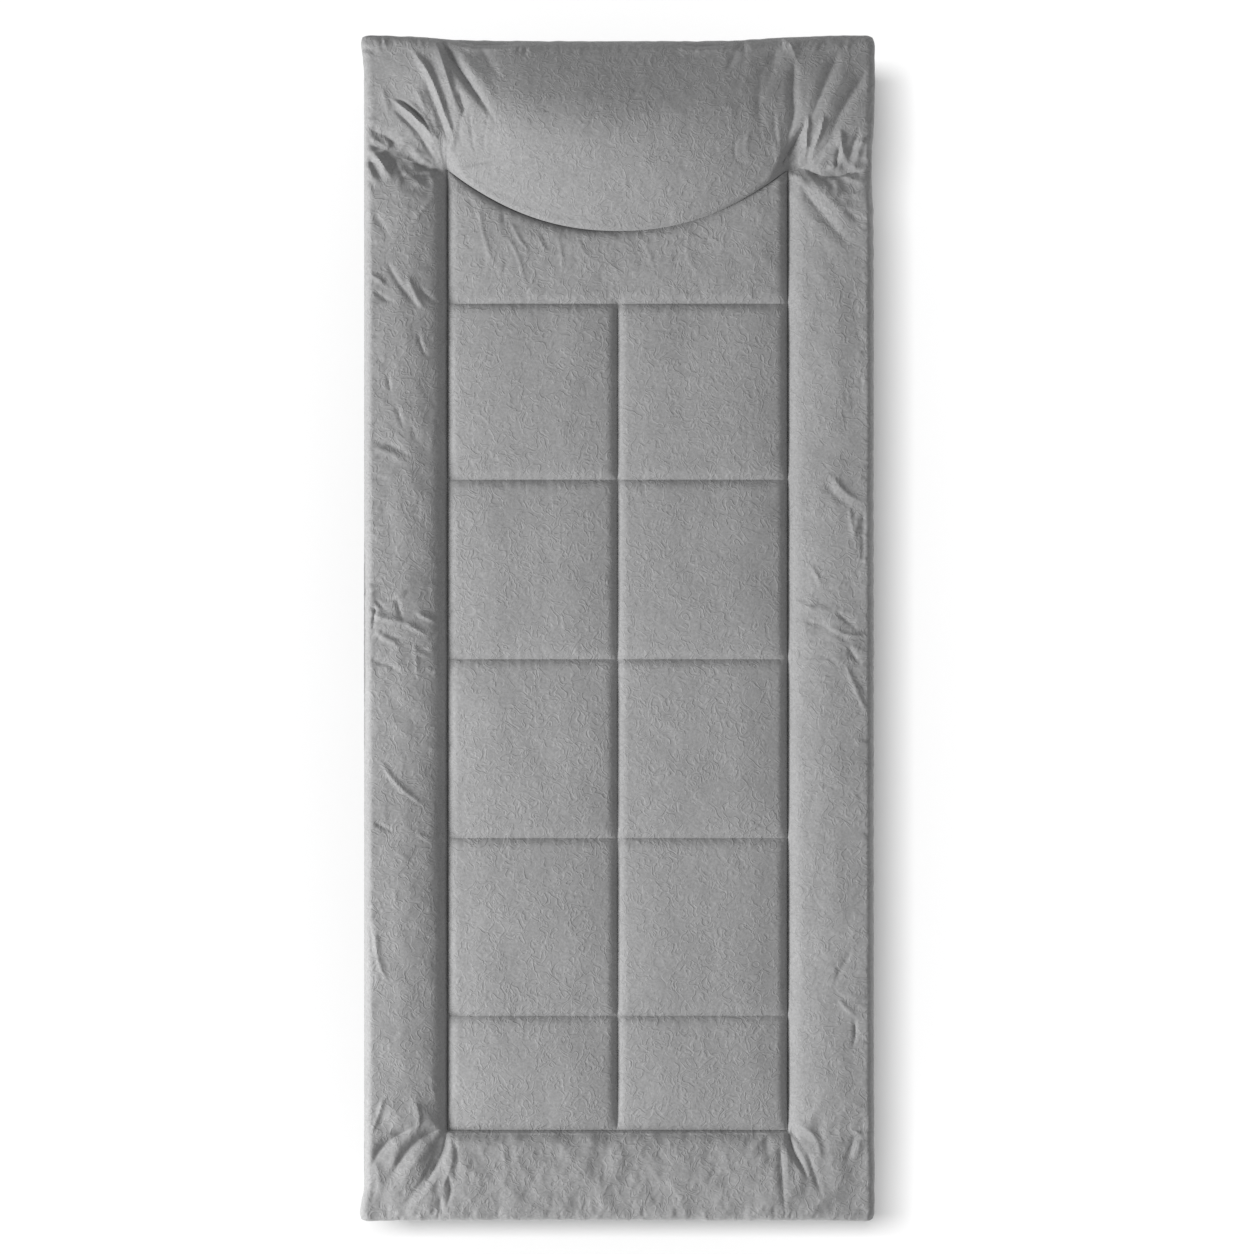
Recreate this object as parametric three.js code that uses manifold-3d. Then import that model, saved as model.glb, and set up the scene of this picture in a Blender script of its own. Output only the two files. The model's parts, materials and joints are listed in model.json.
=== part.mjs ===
// Folding camp bed with a padded, quilted cover and a sewn-in pillow.
// The tubular frame is in two halves, joined at mid length by a double-pivot hinge, so it folds
// flat with the padding inside. Three U legs swing in under the frame.
// Millimetres. +X is the sleeper's left when lying face up with the head at +Y, and +Z is up.
// The origin is on the floor, under the middle of the bed.
import * as THREE from "three";
import { mergeVertices } from "three/addons/utils/BufferGeometryUtils.js";
import Module from "manifold-3d";

// Overall sizes
const bedLength = 1898; // over the corner knobs
const bedWidth = 826; // over the corner knobs
const railHeight = 350; // axis of the rails above the floor

// Tubes
const railRadius = 12.5;
const tubeWall = 1.5;
const legRadius = 11;
const crossRadius = 8;
const tubeSides = 12;
const legSides = 10;
const pinSides = 8;
const boreSides = 16; // enough for a bore to clear its tube however the two are turned

// Clearances and cutting
const gap = 0.3; // between pieces that touch
const pinPlay = 0.4; // between a pin and its hole
const foldGap = 1; // between padded ends that meet when folded
const overrun = 5; // how far a cutter runs past what it cuts
const weld = 1e-3; // vertices closer than this are one

// Corner connectors
const ballRadius = 20;
const ballSides = 12;
const ballRings = 6;
const socketWall = 1.5;
const socketLength = 48;
const tubeStop = 16; // from the corner's centre to where a tube ends

// Sling and cover fabric
const slingThickness = 2.5;
const sleeveWall = 1.5;
const sleeveTaper = 26; // from the rail's axis to the sleeve's stitch line
const sleeveOpening = 1.0; // half angle in radians where the sleeve leaves the rail
const slingInset = 18.5; // from the rail's axis to the flat sheet's edge
const skin = 2; // cover fabric round the rails
const hemAngle = 2.1; // how far the hem turns under the rail, in radians from the outer side

// Hinge
const pinSpacing = 150; // between the two pivots, so that the padding fits in between
const channelWall = 1.8;
const channelTail = 25; // past each pivot, where the web holds the rail level
const channelCorner = 9;
const webGap = 0.6;
const hingePinRadius = 4;
const hingeHeadRadius = 7;
const hingeHeadThickness = 1.2;
const hingeEndTrim = 0.3; // the rail's round end is this much smaller than the rail

// Cross tubes
const crossDrop = 9.6; // axis of a cross tube below the rails' axis
const headCrossY = 130;
const footCrossY = -192;

// Legs
const legSplay = THREE.MathUtils.degToRad(8);
const legPivotDrop = 38; // leg pivot below the rail's axis
const legTopReach = 10; // tube past the pivot
const legBend = 60; // radius of the leg's corners, on the axis
const legBendSteps = 5;
const endLegInset = 76; // leg pivot from the end tube
const middleLegY = -140;
const bracketWall = 2.2;
const bracketLength = 44;
const earWidth = 30;
const earReach = 13; // ear below the pivot, on the side that the leg folds to
const earSideGap = 0.4;
const stopTop = 11; // stop plate below the pivot, from here
const stopBottom = 27; // to here
const legPinRadius = 3;
const legPinHeadRadius = 5.5;
const legPinHeadThickness = 1.6;
const rivetRadius = 4;
const rivetHeight = 1.4;
const rivetOffset = 15;
const rivetSides = 6;

// Foot glides
const glideWall = 3.6;
const glideSole = 4;
const glideSoleWidth = 36;
const glideLength = 40;
const glideSlot = 13;
const glideInset = 92; // from the rail's axis

// Padding, heights above the rails' axis
const seamTop = 8; // at a sewn seam
const edgeTop = 16; // where the cover turns down at its outer edge
const tipTop = 5; // at a tapered end beside a pivot
const quiltCrown = 27;
const bolsterCrown = 50;
const pillowRoll = 32; // rise of the pillow's rolled edge
const pillowDome = 45; // rise of its stuffing over that

// Padding, plan
const bolsterWidth = 133.5;
const footBolsterWidth = 136.5;
const pillowDepth = 206.3; // from the cover's head end to where the pillow is pinched in
const pillowDrop = 102; // how far the pillow's front edge curves down
const pillowCurvePower = 2.15; // power of the curve: 2 is a parabola
const blankRowDepth = 215; // between that pinch and the quilt's first seam
const footRowDepth = 183.6; // the quilt's last row, shorter than the others
const quiltRows = 5;
const seamGap = 0.4; // between neighbouring pads
const quiltFullness = 5; // power of a cell's crown: higher is flatter on top
const innerSlope = 57; // run of the bolster's slope down to its inner seam
const innerSlopePower = 2.2;
const outerRoll = 26; // run of the roll at the outer edge
const pillowFrontRoll = 15;
const pillowFrontRun = 120;
const pillowBackRun = 190;
const pillowSideRun = 230;
const windowSlack = 3; // round a bracket

// Shares along a quilted cell and along a bolster where the mesh has its lines
const cellShares = [0, 0.06, 0.19, 0.5, 0.81, 0.94];
const bolsterShares = [0, 0.07, 0.18, 0.42, 0.72, 0.87, 0.95, 0.985, 1];
const headLengthShares = [0, 0.02, 0.05, 0.09, 0.14, 0.3, 0.5, 0.7, 0.91, 0.965, 1];
const footLengthShares = [0, 0.01, 0.034, 0.085, 0.165, 0.35, 0.53, 0.71, 0.87, 0.92, 0.96, 0.984, 1];
const foldLengthShares = [0, 0.12, 0.28, 0.5, 0.72, 0.88, 1];
const endShares = [0, 0.05, 0.12, 0.24, 0.5, 0.76, 0.88, 0.95, 1];
const pillowSideShares = [0.25, 0.7, 0.9, 0.97, 1];
const pillowRowShares = [0, 0.03, 0.08, 0.22, 0.4, 0.6, 0.78, 0.9, 0.97, 1];

// Places worked out from the sizes above
const sleeveRadius = railRadius + gap + sleeveWall;
const coverClearRadius = sleeveRadius + gap;
const coverRadius = coverClearRadius + skin;
const knobClearRadius = ballRadius + gap;
const knobRadius = knobClearRadius + skin;
const railX = bedWidth / 2 - knobRadius;
const endY = bedLength / 2 - knobRadius;
const coverX = railX + coverRadius;
const coverY = endY + coverRadius;
const seamX = coverX - bolsterWidth;
const footSeamY = footBolsterWidth - coverY;
const pillowSeamY = coverY - pillowDepth;
const quiltLastSeamY = pillowSeamY - blankRowDepth;
const quiltPitch = (quiltLastSeamY - footSeamY - footRowDepth) / (quiltRows - 1);
const pinY = pinSpacing / 2;
const padBottom = slingThickness / 2 + gap;
const railEndY = endY - tubeStop - gap;
const channelInner = railRadius + gap;
const channelOuter = channelInner + channelWall;
const channelBottom = railRadius + webGap + channelWall;
const hingeGrip = 2 * channelOuter + gap;
const hingeReach = hingeGrip / 2 + hingeHeadThickness;
const hingeClearX = railX - hingeReach - gap;
const hingeClearY = pinY + Math.hypot(channelTail, channelBottom) + foldGap;
const tipDistance = tipTop + foldGap;
const endLegY = endY - endLegInset;
const windowReach = bracketLength / 2 + windowSlack;
const legPivotZ = railHeight - legPivotDrop;
const glideAxisZ = legRadius + glideSole;
const legLength = (legPivotZ - glideAxisZ) / Math.cos(legSplay);
const sleeveEndY = endLegY - windowReach;

const wasm = await Module();
wasm.setup();

const finish = (color, roughness, metalness) =>
  new THREE.MeshStandardMaterial({ color, roughness, metalness });
const coverFabric = finish(0x969696, 0.95, 0);
const slingFabric = finish(0x3b3d40, 0.9, 0);
const coatedSteel = finish(0x34373b, 0.5, 0.6);
const zincSteel = finish(0xb4b6b8, 0.35, 1);
const blackPlastic = finish(0x1e1f21, 0.6, 0);

// A closed geometry as a solid that can be joined and cut
function solid(geometry) {
  const loose = geometry.index ? geometry.toNonIndexed() : geometry;
  const bare = new THREE.BufferGeometry();
  bare.setAttribute("position", loose.getAttribute("position"));
  const merged = mergeVertices(bare, weld);
  const mesh = new wasm.Mesh({
    numProp: 3,
    vertProperties: merged.attributes.position.array,
    triVerts: new Uint32Array(merged.index.array),
  });
  return new wasm.Manifold(mesh);
}

// A solid back as a geometry, its flat faces without leftover lines
function geometryOf(body) {
  const mesh = body.asOriginal().simplify(weld).getMesh();
  const geometry = new THREE.BufferGeometry();
  geometry.setAttribute("position", new THREE.BufferAttribute(mesh.vertProperties, 3));
  geometry.setIndex(new THREE.BufferAttribute(mesh.triVerts, 1));
  geometry.computeVertexNormals();
  return geometry;
}

const joined = (...bodies) => bodies.reduce((whole, body) => whole.add(body));
const cut = (body, ...cutters) => cutters.reduce((left, cutter) => left.subtract(cutter), body);

// A box between two corners
function boxBetween([x0, y0, z0], [x1, y1, z1]) {
  const geometry = new THREE.BoxGeometry(x1 - x0, y1 - y0, z1 - z0);
  return solid(geometry.translate((x0 + x1) / 2, (y0 + y1) / 2, (z0 + z1) / 2));
}

// A round bar along Y or X, centred on the given place
function barY(radius, length, place, sides = tubeSides) {
  return solid(new THREE.CylinderGeometry(radius, radius, length, sides).translate(...place));
}

function barX(radius, length, place, sides = tubeSides) {
  const geometry = new THREE.CylinderGeometry(radius, radius, length, sides);
  return solid(geometry.rotateZ(-Math.PI / 2).translate(...place));
}

function ball(radius, place) {
  return solid(new THREE.SphereGeometry(radius, ballSides, ballRings).translate(...place));
}

// A straight tube along Y from one end to the other
function tubeGeometry(radius, from, to) {
  const inner = radius - tubeWall;
  const profile = [
    [inner, from],
    [radius, from],
    [radius, to],
    [inner, to],
    [inner, from],
  ];
  const points = profile.map(([r, y]) => new THREE.Vector2(r, y));
  return new THREE.LatheGeometry(points, tubeSides);
}

// A flat outline in X and Z, run along Y from one end to the other
function runAlongY(shape, from, to, curveSegments = tubeSides / 2) {
  const settings = { depth: to - from, bevelEnabled: false, curveSegments };
  return new THREE.ExtrudeGeometry(shape, settings).rotateX(Math.PI / 2).translate(0, to, 0);
}

const bedFrame = new THREE.Group();
bedFrame.position.z = railHeight;
const camp = new THREE.Group();
camp.add(bedFrame);

function piece(name, shape, material, parent = bedFrame) {
  const geometry = shape.isBufferGeometry ? shape : geometryOf(shape);
  const mesh = new THREE.Mesh(geometry, material);
  mesh.name = name;
  parent.add(mesh);
  return mesh;
}

const sides = [
  ["left", 1],
  ["right", -1],
];

// Side rails: each runs from its corner connector to its hinge pivot, where its end is round
function rail(side, end) {
  const inner = end * pinY;
  const tip = inner - end * (railRadius - hingeEndTrim);
  const outer = end * railEndY;
  const body = solid(tubeGeometry(railRadius, Math.min(tip, outer), Math.max(tip, outer)));
  const pastPin = boxBetween(
    [-railRadius - overrun, Math.min(inner, tip - end * overrun), -railRadius - overrun],
    [railRadius + overrun, Math.max(inner, tip - end * overrun), railRadius + overrun],
  );
  const roundEnd = barX(railRadius - hingeEndTrim, bedWidth, [0, inner, 0]);
  const pinHole = barX(hingePinRadius + pinPlay, bedWidth, [0, inner, 0], pinSides);
  const shaped = cut(body, cut(pastPin, roundEnd), pinHole);
  return geometryOf(shaped).translate(side * railX, 0, 0);
}

// The tube across the head or the foot of the frame
function endTube(end) {
  const reach = railX - tubeStop - gap;
  return tubeGeometry(railRadius, -reach, reach).rotateZ(-Math.PI / 2).translate(0, end * endY, 0);
}

// A moulded corner: a ball with one socket for the rail and one for the end tube
function cornerConnector(side, end) {
  const radius = railRadius + gap + socketWall;
  const bore = railRadius + gap;
  const length = socketLength;
  const boreLength = socketLength + overrun - tubeStop;
  const boreMiddle = tubeStop + boreLength / 2;
  const body = joined(
    ball(ballRadius, [0, 0, 0]),
    barY(radius, length, [0, (-end * length) / 2, 0]),
    barX(radius, length, [(-side * length) / 2, 0, 0]),
  );
  const bored = cut(
    body,
    barY(bore, boreLength, [0, -end * boreMiddle, 0]),
    barX(bore, boreLength, [-side * boreMiddle, 0, 0]),
  );
  return geometryOf(bored).translate(side * railX, end * endY, 0);
}

// A light tube between the rails, its ends shaped to the rails' round sides
function crossTube(y) {
  const body = solid(tubeGeometry(crossRadius, -railX, railX).rotateZ(-Math.PI / 2));
  const rails = sides.map(([, side]) =>
    barY(railRadius + gap, bedWidth, [side * railX, 0, crossDrop]),
  );
  return geometryOf(cut(body, ...rails)).translate(0, y, -crossDrop);
}

// The hinge's channel: its walls carry both pivots, and its web stops the rails when they are level
function hingeChannel(side) {
  const reach = pinY + channelTail;
  const outline = new THREE.Shape();
  const top = railRadius;
  const corner = channelCorner;
  outline.moveTo(-reach + corner, -channelBottom);
  outline.lineTo(reach - corner, -channelBottom);
  outline.absarc(reach - corner, -channelBottom + corner, corner, -Math.PI / 2, 0);
  outline.lineTo(reach, top - corner);
  outline.absarc(reach - corner, top - corner, corner, 0, Math.PI / 2);
  outline.lineTo(-reach + corner, top);
  outline.absarc(-reach + corner, top - corner, corner, Math.PI / 2, Math.PI);
  outline.lineTo(-reach, -channelBottom + corner);
  outline.absarc(-reach + corner, -channelBottom + corner, corner, Math.PI, (3 * Math.PI) / 2);
  const settings = { depth: 2 * channelOuter, bevelEnabled: false, curveSegments: 3 };
  const block = new THREE.ExtrudeGeometry(outline, settings);
  block.rotateX(Math.PI / 2).rotateZ(Math.PI / 2).translate(-channelOuter, 0, 0);
  const hollow = boxBetween(
    [-channelInner, -reach - overrun, -railRadius - webGap],
    [channelInner, reach + overrun, railRadius + overrun],
  );
  const holes = [pinY, -pinY].map((y) =>
    barX(hingePinRadius + pinPlay, bedWidth, [0, y, 0], pinSides),
  );
  return geometryOf(cut(solid(block), hollow, ...holes)).translate(side * railX, 0, 0);
}

// A riveted pin along X with a flat head at each end
function headedPin(radius, headRadius, headThickness, grip) {
  const half = grip / 2;
  const profile = [
    [0, -half - headThickness],
    [headRadius, -half - headThickness],
    [headRadius, -half],
    [radius, -half],
    [radius, half],
    [headRadius, half],
    [headRadius, half + headThickness],
    [0, half + headThickness],
  ];
  const points = profile.map(([r, y]) => new THREE.Vector2(r, y));
  return new THREE.LatheGeometry(points, pinSides).rotateZ(-Math.PI / 2);
}

// The tube between the two hinge channels
function hingeCrossTube() {
  const reach = railX - channelOuter - gap;
  const tube = tubeGeometry(crossRadius, -reach, reach);
  return tube.rotateZ(-Math.PI / 2).translate(0, 0, -crossDrop);
}

function addFrame() {
  for (const [word, side] of sides) {
    piece(`head_rail_${word}`, rail(side, 1), coatedSteel);
    piece(`foot_rail_${word}`, rail(side, -1), coatedSteel);
    piece(`head_corner_${word}`, cornerConnector(side, 1), blackPlastic);
    piece(`foot_corner_${word}`, cornerConnector(side, -1), blackPlastic);
    piece(`hinge_channel_${word}`, hingeChannel(side), zincSteel);
    for (const [name, y] of [
      ["head", pinY],
      ["foot", -pinY],
    ]) {
      const pin = headedPin(hingePinRadius, hingeHeadRadius, hingeHeadThickness, hingeGrip);
      piece(`${name}_hinge_pin_${word}`, pin, zincSteel).position.set(side * railX, y, 0);
    }
  }
  piece("head_end_tube", endTube(1), coatedSteel);
  piece("foot_end_tube", endTube(-1), coatedSteel);
  piece("head_cross_tube", crossTube(headCrossY), coatedSteel);
  piece("foot_cross_tube", crossTube(footCrossY), coatedSteel);
  piece("hinge_cross_tube", hingeCrossTube(), coatedSteel);
}

// A bent tube's centre line: its parameter counts the given points, so straights stay whole
class BentLine extends THREE.Curve {
  constructor(points) {
    super();
    this.points = points;
  }

  getPoint(t, target = new THREE.Vector3()) {
    const last = this.points.length - 1;
    const place = Math.min(Math.max(t, 0), 1) * last;
    const before = Math.min(Math.floor(place), last - 1);
    return target.lerpVectors(this.points[before], this.points[before + 1], place - before);
  }

  getUtoTmapping(u) {
    return u;
  }
}

// The U leg, from one pivot down, across the floor and up to the other
function legTube() {
  const points = [new THREE.Vector3(-railX, 0, legTopReach)];
  for (const side of [-1, 1]) {
    for (let step = 0; step <= legBendSteps; step++) {
      const share = side < 0 ? step / legBendSteps : 1 - step / legBendSteps;
      const angle = (share * Math.PI) / 2;
      const x = railX - legBend + legBend * Math.cos(angle);
      const z = -legLength + legBend - legBend * Math.sin(angle);
      points.push(new THREE.Vector3(side * x, 0, z));
    }
  }
  points.push(new THREE.Vector3(railX, 0, legTopReach));
  const section = new THREE.Shape().absarc(0, 0, legRadius, 0, 2 * Math.PI);
  section.holes.push(new THREE.Path().absarc(0, 0, legRadius - tubeWall, 0, 2 * Math.PI, true));
  const settings = {
    steps: points.length - 1,
    extrudePath: new BentLine(points),
    curveSegments: legSides / 2,
  };
  const tube = solid(new THREE.ExtrudeGeometry(section, settings));
  return cut(tube, barX(legPinRadius + pinPlay, 2 * bedWidth, [0, 0, 0], pinSides));
}

// The stamped bracket under a rail: a saddle, two ears with the leg between them, and the plate
// that stops the leg when it is splayed. outward is the way along Y that the leg leans.
function legBracket(outward) {
  const saddleRadius = railRadius + gap + bracketWall;
  const railBore = barY(railRadius + gap, bracketLength + 2 * overrun, [0, 0, 0]);
  const upperHalf = boxBetween(
    [-saddleRadius - overrun, -bracketLength, 0],
    [saddleRadius + overrun, bracketLength, saddleRadius + overrun],
  );
  const saddle = cut(barY(saddleRadius, bracketLength, [0, 0, 0]), upperHalf);
  const earInner = legRadius + earSideGap;
  const earOuter = earInner + bracketWall;
  const stopOuter = legRadius + gap + bracketWall;
  const earProfile = new THREE.Shape();
  earProfile.moveTo(-outward * earWidth / 2, -railRadius / 2);
  earProfile.lineTo(-outward * earWidth / 2, -legPivotDrop + earReach / 2);
  earProfile.lineTo(-outward * earWidth / 4, -legPivotDrop - earReach);
  earProfile.lineTo(outward * stopOuter / 2, -legPivotDrop - stopBottom);
  earProfile.lineTo(outward * (stopOuter + stopBottom * Math.sin(legSplay)), -legPivotDrop - stopBottom);
  earProfile.lineTo(outward * earWidth / 2, -legPivotDrop - stopTop);
  earProfile.lineTo(outward * earWidth / 2, -railRadius / 2);
  const ears = [-earOuter, earInner].map((x) => {
    const plate = new THREE.ExtrudeGeometry(earProfile, { depth: bracketWall, bevelEnabled: false });
    return solid(plate.rotateX(Math.PI / 2).rotateZ(Math.PI / 2).translate(x, 0, 0));
  });
  const plate = new THREE.BoxGeometry(2 * earOuter, bracketWall, stopBottom - stopTop);
  plate.translate(0, outward * (stopOuter - bracketWall / 2), -(stopBottom + stopTop) / 2);
  plate.rotateX(outward * legSplay).translate(0, 0, -legPivotDrop);
  const rivets = [rivetOffset, -rivetOffset].map((y) => {
    const depth = rivetHeight + bracketWall;
    const head = new THREE.CylinderGeometry(rivetRadius, rivetRadius, depth, rivetSides);
    head.rotateX(Math.PI / 2).translate(0, y, -saddleRadius + (bracketWall - rivetHeight) / 2);
    return solid(head);
  });
  const body = joined(saddle, ...ears, solid(plate), ...rivets);
  const pinHole = barX(legPinRadius + pinPlay, bedWidth, [0, 0, -legPivotDrop], pinSides);
  return cut(body, railBore, pinHole);
}

// A push-on foot round the leg's floor bar, with a flat sole. Its bore is at its origin.
function footGlide() {
  const outer = legRadius + gap + glideWall;
  const shape = new THREE.Shape();
  shape.moveTo(-glideSoleWidth / 2, -glideAxisZ);
  shape.lineTo(glideSoleWidth / 2, -glideAxisZ);
  shape.lineTo(glideSoleWidth / 2, -glideAxisZ + glideSole);
  shape.lineTo(outer, 0);
  shape.absarc(0, 0, outer, 0, Math.PI);
  shape.lineTo(-glideSoleWidth / 2, -glideAxisZ + glideSole);
  const settings = { depth: glideLength, bevelEnabled: false, curveSegments: 5 };
  const block = new THREE.ExtrudeGeometry(shape, settings);
  block.rotateX(Math.PI / 2).rotateZ(Math.PI / 2).translate(-glideLength / 2, 0, 0);
  const bore = barX(legRadius + gap, glideLength + 2 * overrun, [0, 0, 0], boreSides);
  const slot = boxBetween(
    [-glideLength, -glideSlot / 2, 0],
    [glideLength, glideSlot / 2, outer + overrun],
  );
  return cut(solid(block), bore, slot);
}

// A leg with its brackets, pins and glides. It leans outward and folds the other way.
function addLeg(name, y, outward) {
  const swing = new THREE.Group();
  swing.position.set(0, y, -legPivotDrop);
  swing.rotation.x = outward * legSplay;
  bedFrame.add(swing);
  piece(`${name}_leg_tube`, legTube(), coatedSteel, swing);
  const footY = y + outward * legLength * Math.sin(legSplay);
  const pinGrip = 2 * (legRadius + earSideGap + bracketWall + gap / 2);
  for (const [word, side] of sides) {
    const x = side * railX;
    piece(`${name}_leg_bracket_${word}`, legBracket(outward), zincSteel).position.set(x, y, 0);
    const pin = headedPin(legPinRadius, legPinHeadRadius, legPinHeadThickness, pinGrip);
    piece(`${name}_leg_pin_${word}`, pin, zincSteel).position.set(x, y, -legPivotDrop);
    const glide = piece(`${name}_leg_glide_${word}`, footGlide(), blackPlastic);
    glide.position.set(side * (railX - glideInset), footY, glideAxisZ - railHeight);
  }
}

function addLegs() {
  addLeg("head", endLegY, 1);
  addLeg("middle", middleLegY, 1);
  addLeg("foot", -endLegY, -1);
}

// The sling's sleeve round a rail, or the room it needs, as an outline in X and Z about the rail.
// It tapers to a tip inside the sheet.
function sleeveOutline(side, radius, halfThickness) {
  const shape = new THREE.Shape();
  const away = side > 0 ? 0 : Math.PI;
  shape.moveTo(-side * sleeveTaper, side * halfThickness);
  shape.lineTo(-side * sleeveTaper, -side * halfThickness);
  const from = away + Math.PI + sleeveOpening;
  shape.absarc(0, 0, radius, from, from + 2 * (Math.PI - sleeveOpening));
  return shape;
}

// The load-bearing sheet under the padding, with a sleeve along each rail
function sling(end) {
  const half = slingThickness / 2;
  const near = pinY + tipDistance / 2;
  const far = endY - coverClearRadius - overrun;
  const reach = railX - slingInset;
  const low = end > 0 ? near : -far;
  const high = end > 0 ? far : -near;
  const sheet = boxBetween([-reach, low, -half], [reach, high, half]);
  const inner = end > 0 ? headCrossY : -footCrossY;
  const sleeveNear = inner + crossRadius + windowSlack;
  const sleeveLow = end > 0 ? sleeveNear : -sleeveEndY;
  const sleeveHigh = end > 0 ? sleeveEndY : -sleeveNear;
  const sleeves = sides.map(([, side]) => {
    const outline = sleeveOutline(side, sleeveRadius, half - gap);
    outline.holes.push(new THREE.Path().absarc(0, 0, railRadius + gap, 0, 2 * Math.PI, true));
    return solid(runAlongY(outline, sleeveLow, sleeveHigh).translate(side * railX, 0, 0));
  });
  return joined(sheet, ...sleeves);
}

// The sheet over the hinge, carried by the tube between the channels
function foldSling() {
  const half = slingThickness / 2;
  const reach = railX - slingInset;
  const end = pinY - tipDistance / 2;
  return boxBetween([-reach, -end, -half], [reach, end, half]);
}

// A padded solid: a grid of top points over a plan, straight sides and a flat bottom.
// place turns a column and a row into a plan point, and top gives the height there.
function pad(columns, rows, place, top) {
  const across = columns.length;
  const along = rows.length;
  const points = [];
  for (const row of rows) {
    for (const column of columns) {
      const [x, y] = place(column, row);
      points.push([x, y, top(x, y)]);
    }
  }
  const faces = [];
  for (let r = 0; r < along - 1; r++) {
    for (let c = 0; c < across - 1; c++) {
      const corner = r * across + c;
      faces.push([corner, corner + 1, corner + across + 1]);
      faces.push([corner, corner + across + 1, corner + across]);
    }
  }
  const rim = [];
  for (let c = 0; c < across - 1; c++) rim.push(c);
  for (let r = 0; r < along - 1; r++) rim.push(r * across + across - 1);
  for (let c = across - 1; c > 0; c--) rim.push((along - 1) * across + c);
  for (let r = along - 1; r > 0; r--) rim.push(r * across);
  const first = points.length;
  for (const i of rim) points.push([points[i][0], points[i][1], padBottom]);
  const middle = points.length;
  const mean = (axis) => rim.reduce((sum, i) => sum + points[i][axis], 0) / rim.length;
  points.push([mean(0), mean(1), padBottom]);
  rim.forEach((here, i) => {
    const next = (i + 1) % rim.length;
    faces.push([first + i, first + next, rim[next]], [first + i, rim[next], here]);
    faces.push([first + next, first + i, middle]);
  });
  const geometry = new THREE.BufferGeometry();
  geometry.setAttribute("position", new THREE.Float32BufferAttribute(points.flat(), 3));
  geometry.setIndex(faces.flat());
  return solid(geometry);
}

const between = (low, high) => (share) => low + share * (high - low);
const clamped = (value) => Math.min(Math.max(value, 0), 1);
const quarterRound = (share) => Math.sqrt(1 - (1 - clamped(share)) ** 2);
const easing = (share) => Math.sin((clamped(share) * Math.PI) / 2);

// The most a pad may rise at a place, so that it clears its neighbour when the bed is folded
function foldLimit(y, crown) {
  const distance = Math.abs(Math.abs(y) - pinY) - foldGap;
  return crown * Math.tanh(distance / crown);
}

// Where the sewn seams cross the bed, from the pillow to the foot
const quiltSeams = Array.from({ length: quiltRows }, (_, row) => quiltLastSeamY - row * quiltPitch);

// The pillow's curved front edge, for a distance from the bed's centre line
function pillowFront(x) {
  const share = clamped(Math.abs(x) / seamX);
  return pillowSeamY - pillowDrop * (1 - share ** pillowCurvePower);
}

const cellCrown = (share) => 1 - Math.abs(2 * clamped(share) - 1) ** quiltFullness;

// The quilted panel's height, crowned between its seams
function quiltTop(x, y) {
  const blankRow = y > quiltSeams[0];
  const columnShare = blankRow ? (x + seamX) / (2 * seamX) : Math.abs(x) / seamX;
  const above = blankRow ? pillowFront(x) : quiltSeams.findLast((seam) => seam >= y);
  const below = quiltSeams.find((seam) => seam < y) ?? footSeamY;
  const rowShare = (y - below) / (above - below);
  const rise = (quiltCrown - seamTop) * cellCrown(columnShare) * cellCrown(rowShare);
  return Math.min(seamTop + rise, foldLimit(y, quiltCrown));
}

// Grid lines across the two columns of cells
const quiltColumns = [-1, 0]
  .flatMap((cell) => cellShares.map((share) => (cell + share) * (seamX - seamGap / 2)))
  .concat(seamX - seamGap / 2);

// Grid lines along the rows of cells that lie between two places
function quiltLines(low, high) {
  const stops = [low, ...quiltSeams.filter((seam) => seam > low && seam < high).reverse(), high];
  const lines = stops.slice(1).flatMap((stop, i) => cellShares.map(between(stops[i], stop)));
  return lines.concat(high);
}

function quilt(low, high) {
  return pad(quiltColumns, quiltLines(low, high), (x, y) => [x, y], quiltTop);
}

// The head half's quilt, whose last row ends at the pillow's curve
function headQuilt() {
  const low = pinY + tipDistance;
  const blank = cellShares.map((share) => quiltSeams[0] + share * (pillowSeamY - quiltSeams[0]));
  const lines = quiltLines(low, quiltSeams[0]).slice(0, -1).concat(blank, pillowSeamY);
  const place = (x, y) => {
    const share = clamped((y - quiltSeams[0]) / (pillowSeamY - quiltSeams[0]));
    const end = pillowFront(x) - seamGap;
    return [x, share > 0 ? between(quiltSeams[0], end)(share) : y];
  };
  return pad(quiltColumns, lines, place, quiltTop);
}

// Height across a bolster, from how far a place is from its outer edge and from its inner seam
function bolsterTop(fromEdge, fromSeam) {
  const inner = 1 - (1 - clamped(fromSeam / innerSlope)) ** innerSlopePower;
  const atSeam = seamTop + (bolsterCrown - seamTop) * inner;
  const atEdge = edgeTop + (bolsterCrown - edgeTop) * quarterRound(fromEdge / outerRoll);
  return Math.min(atSeam, atEdge);
}

function sideBolsterTop(x, y) {
  const fromSeam = Math.hypot(Math.abs(x) - seamX, Math.min(y - footSeamY, 0));
  const across = bolsterTop(coverX - Math.abs(x), fromSeam);
  const footEdge = edgeTop + (bolsterCrown - edgeTop) * quarterRound((y + coverY) / outerRoll);
  const pillowEnd = bolsterTop(outerRoll, pillowSeamY - y);
  return Math.min(across, footEdge, pillowEnd, foldLimit(y, bolsterCrown));
}

const footBolsterTop = (x, y) => bolsterTop(y + coverY, footSeamY - y);

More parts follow.
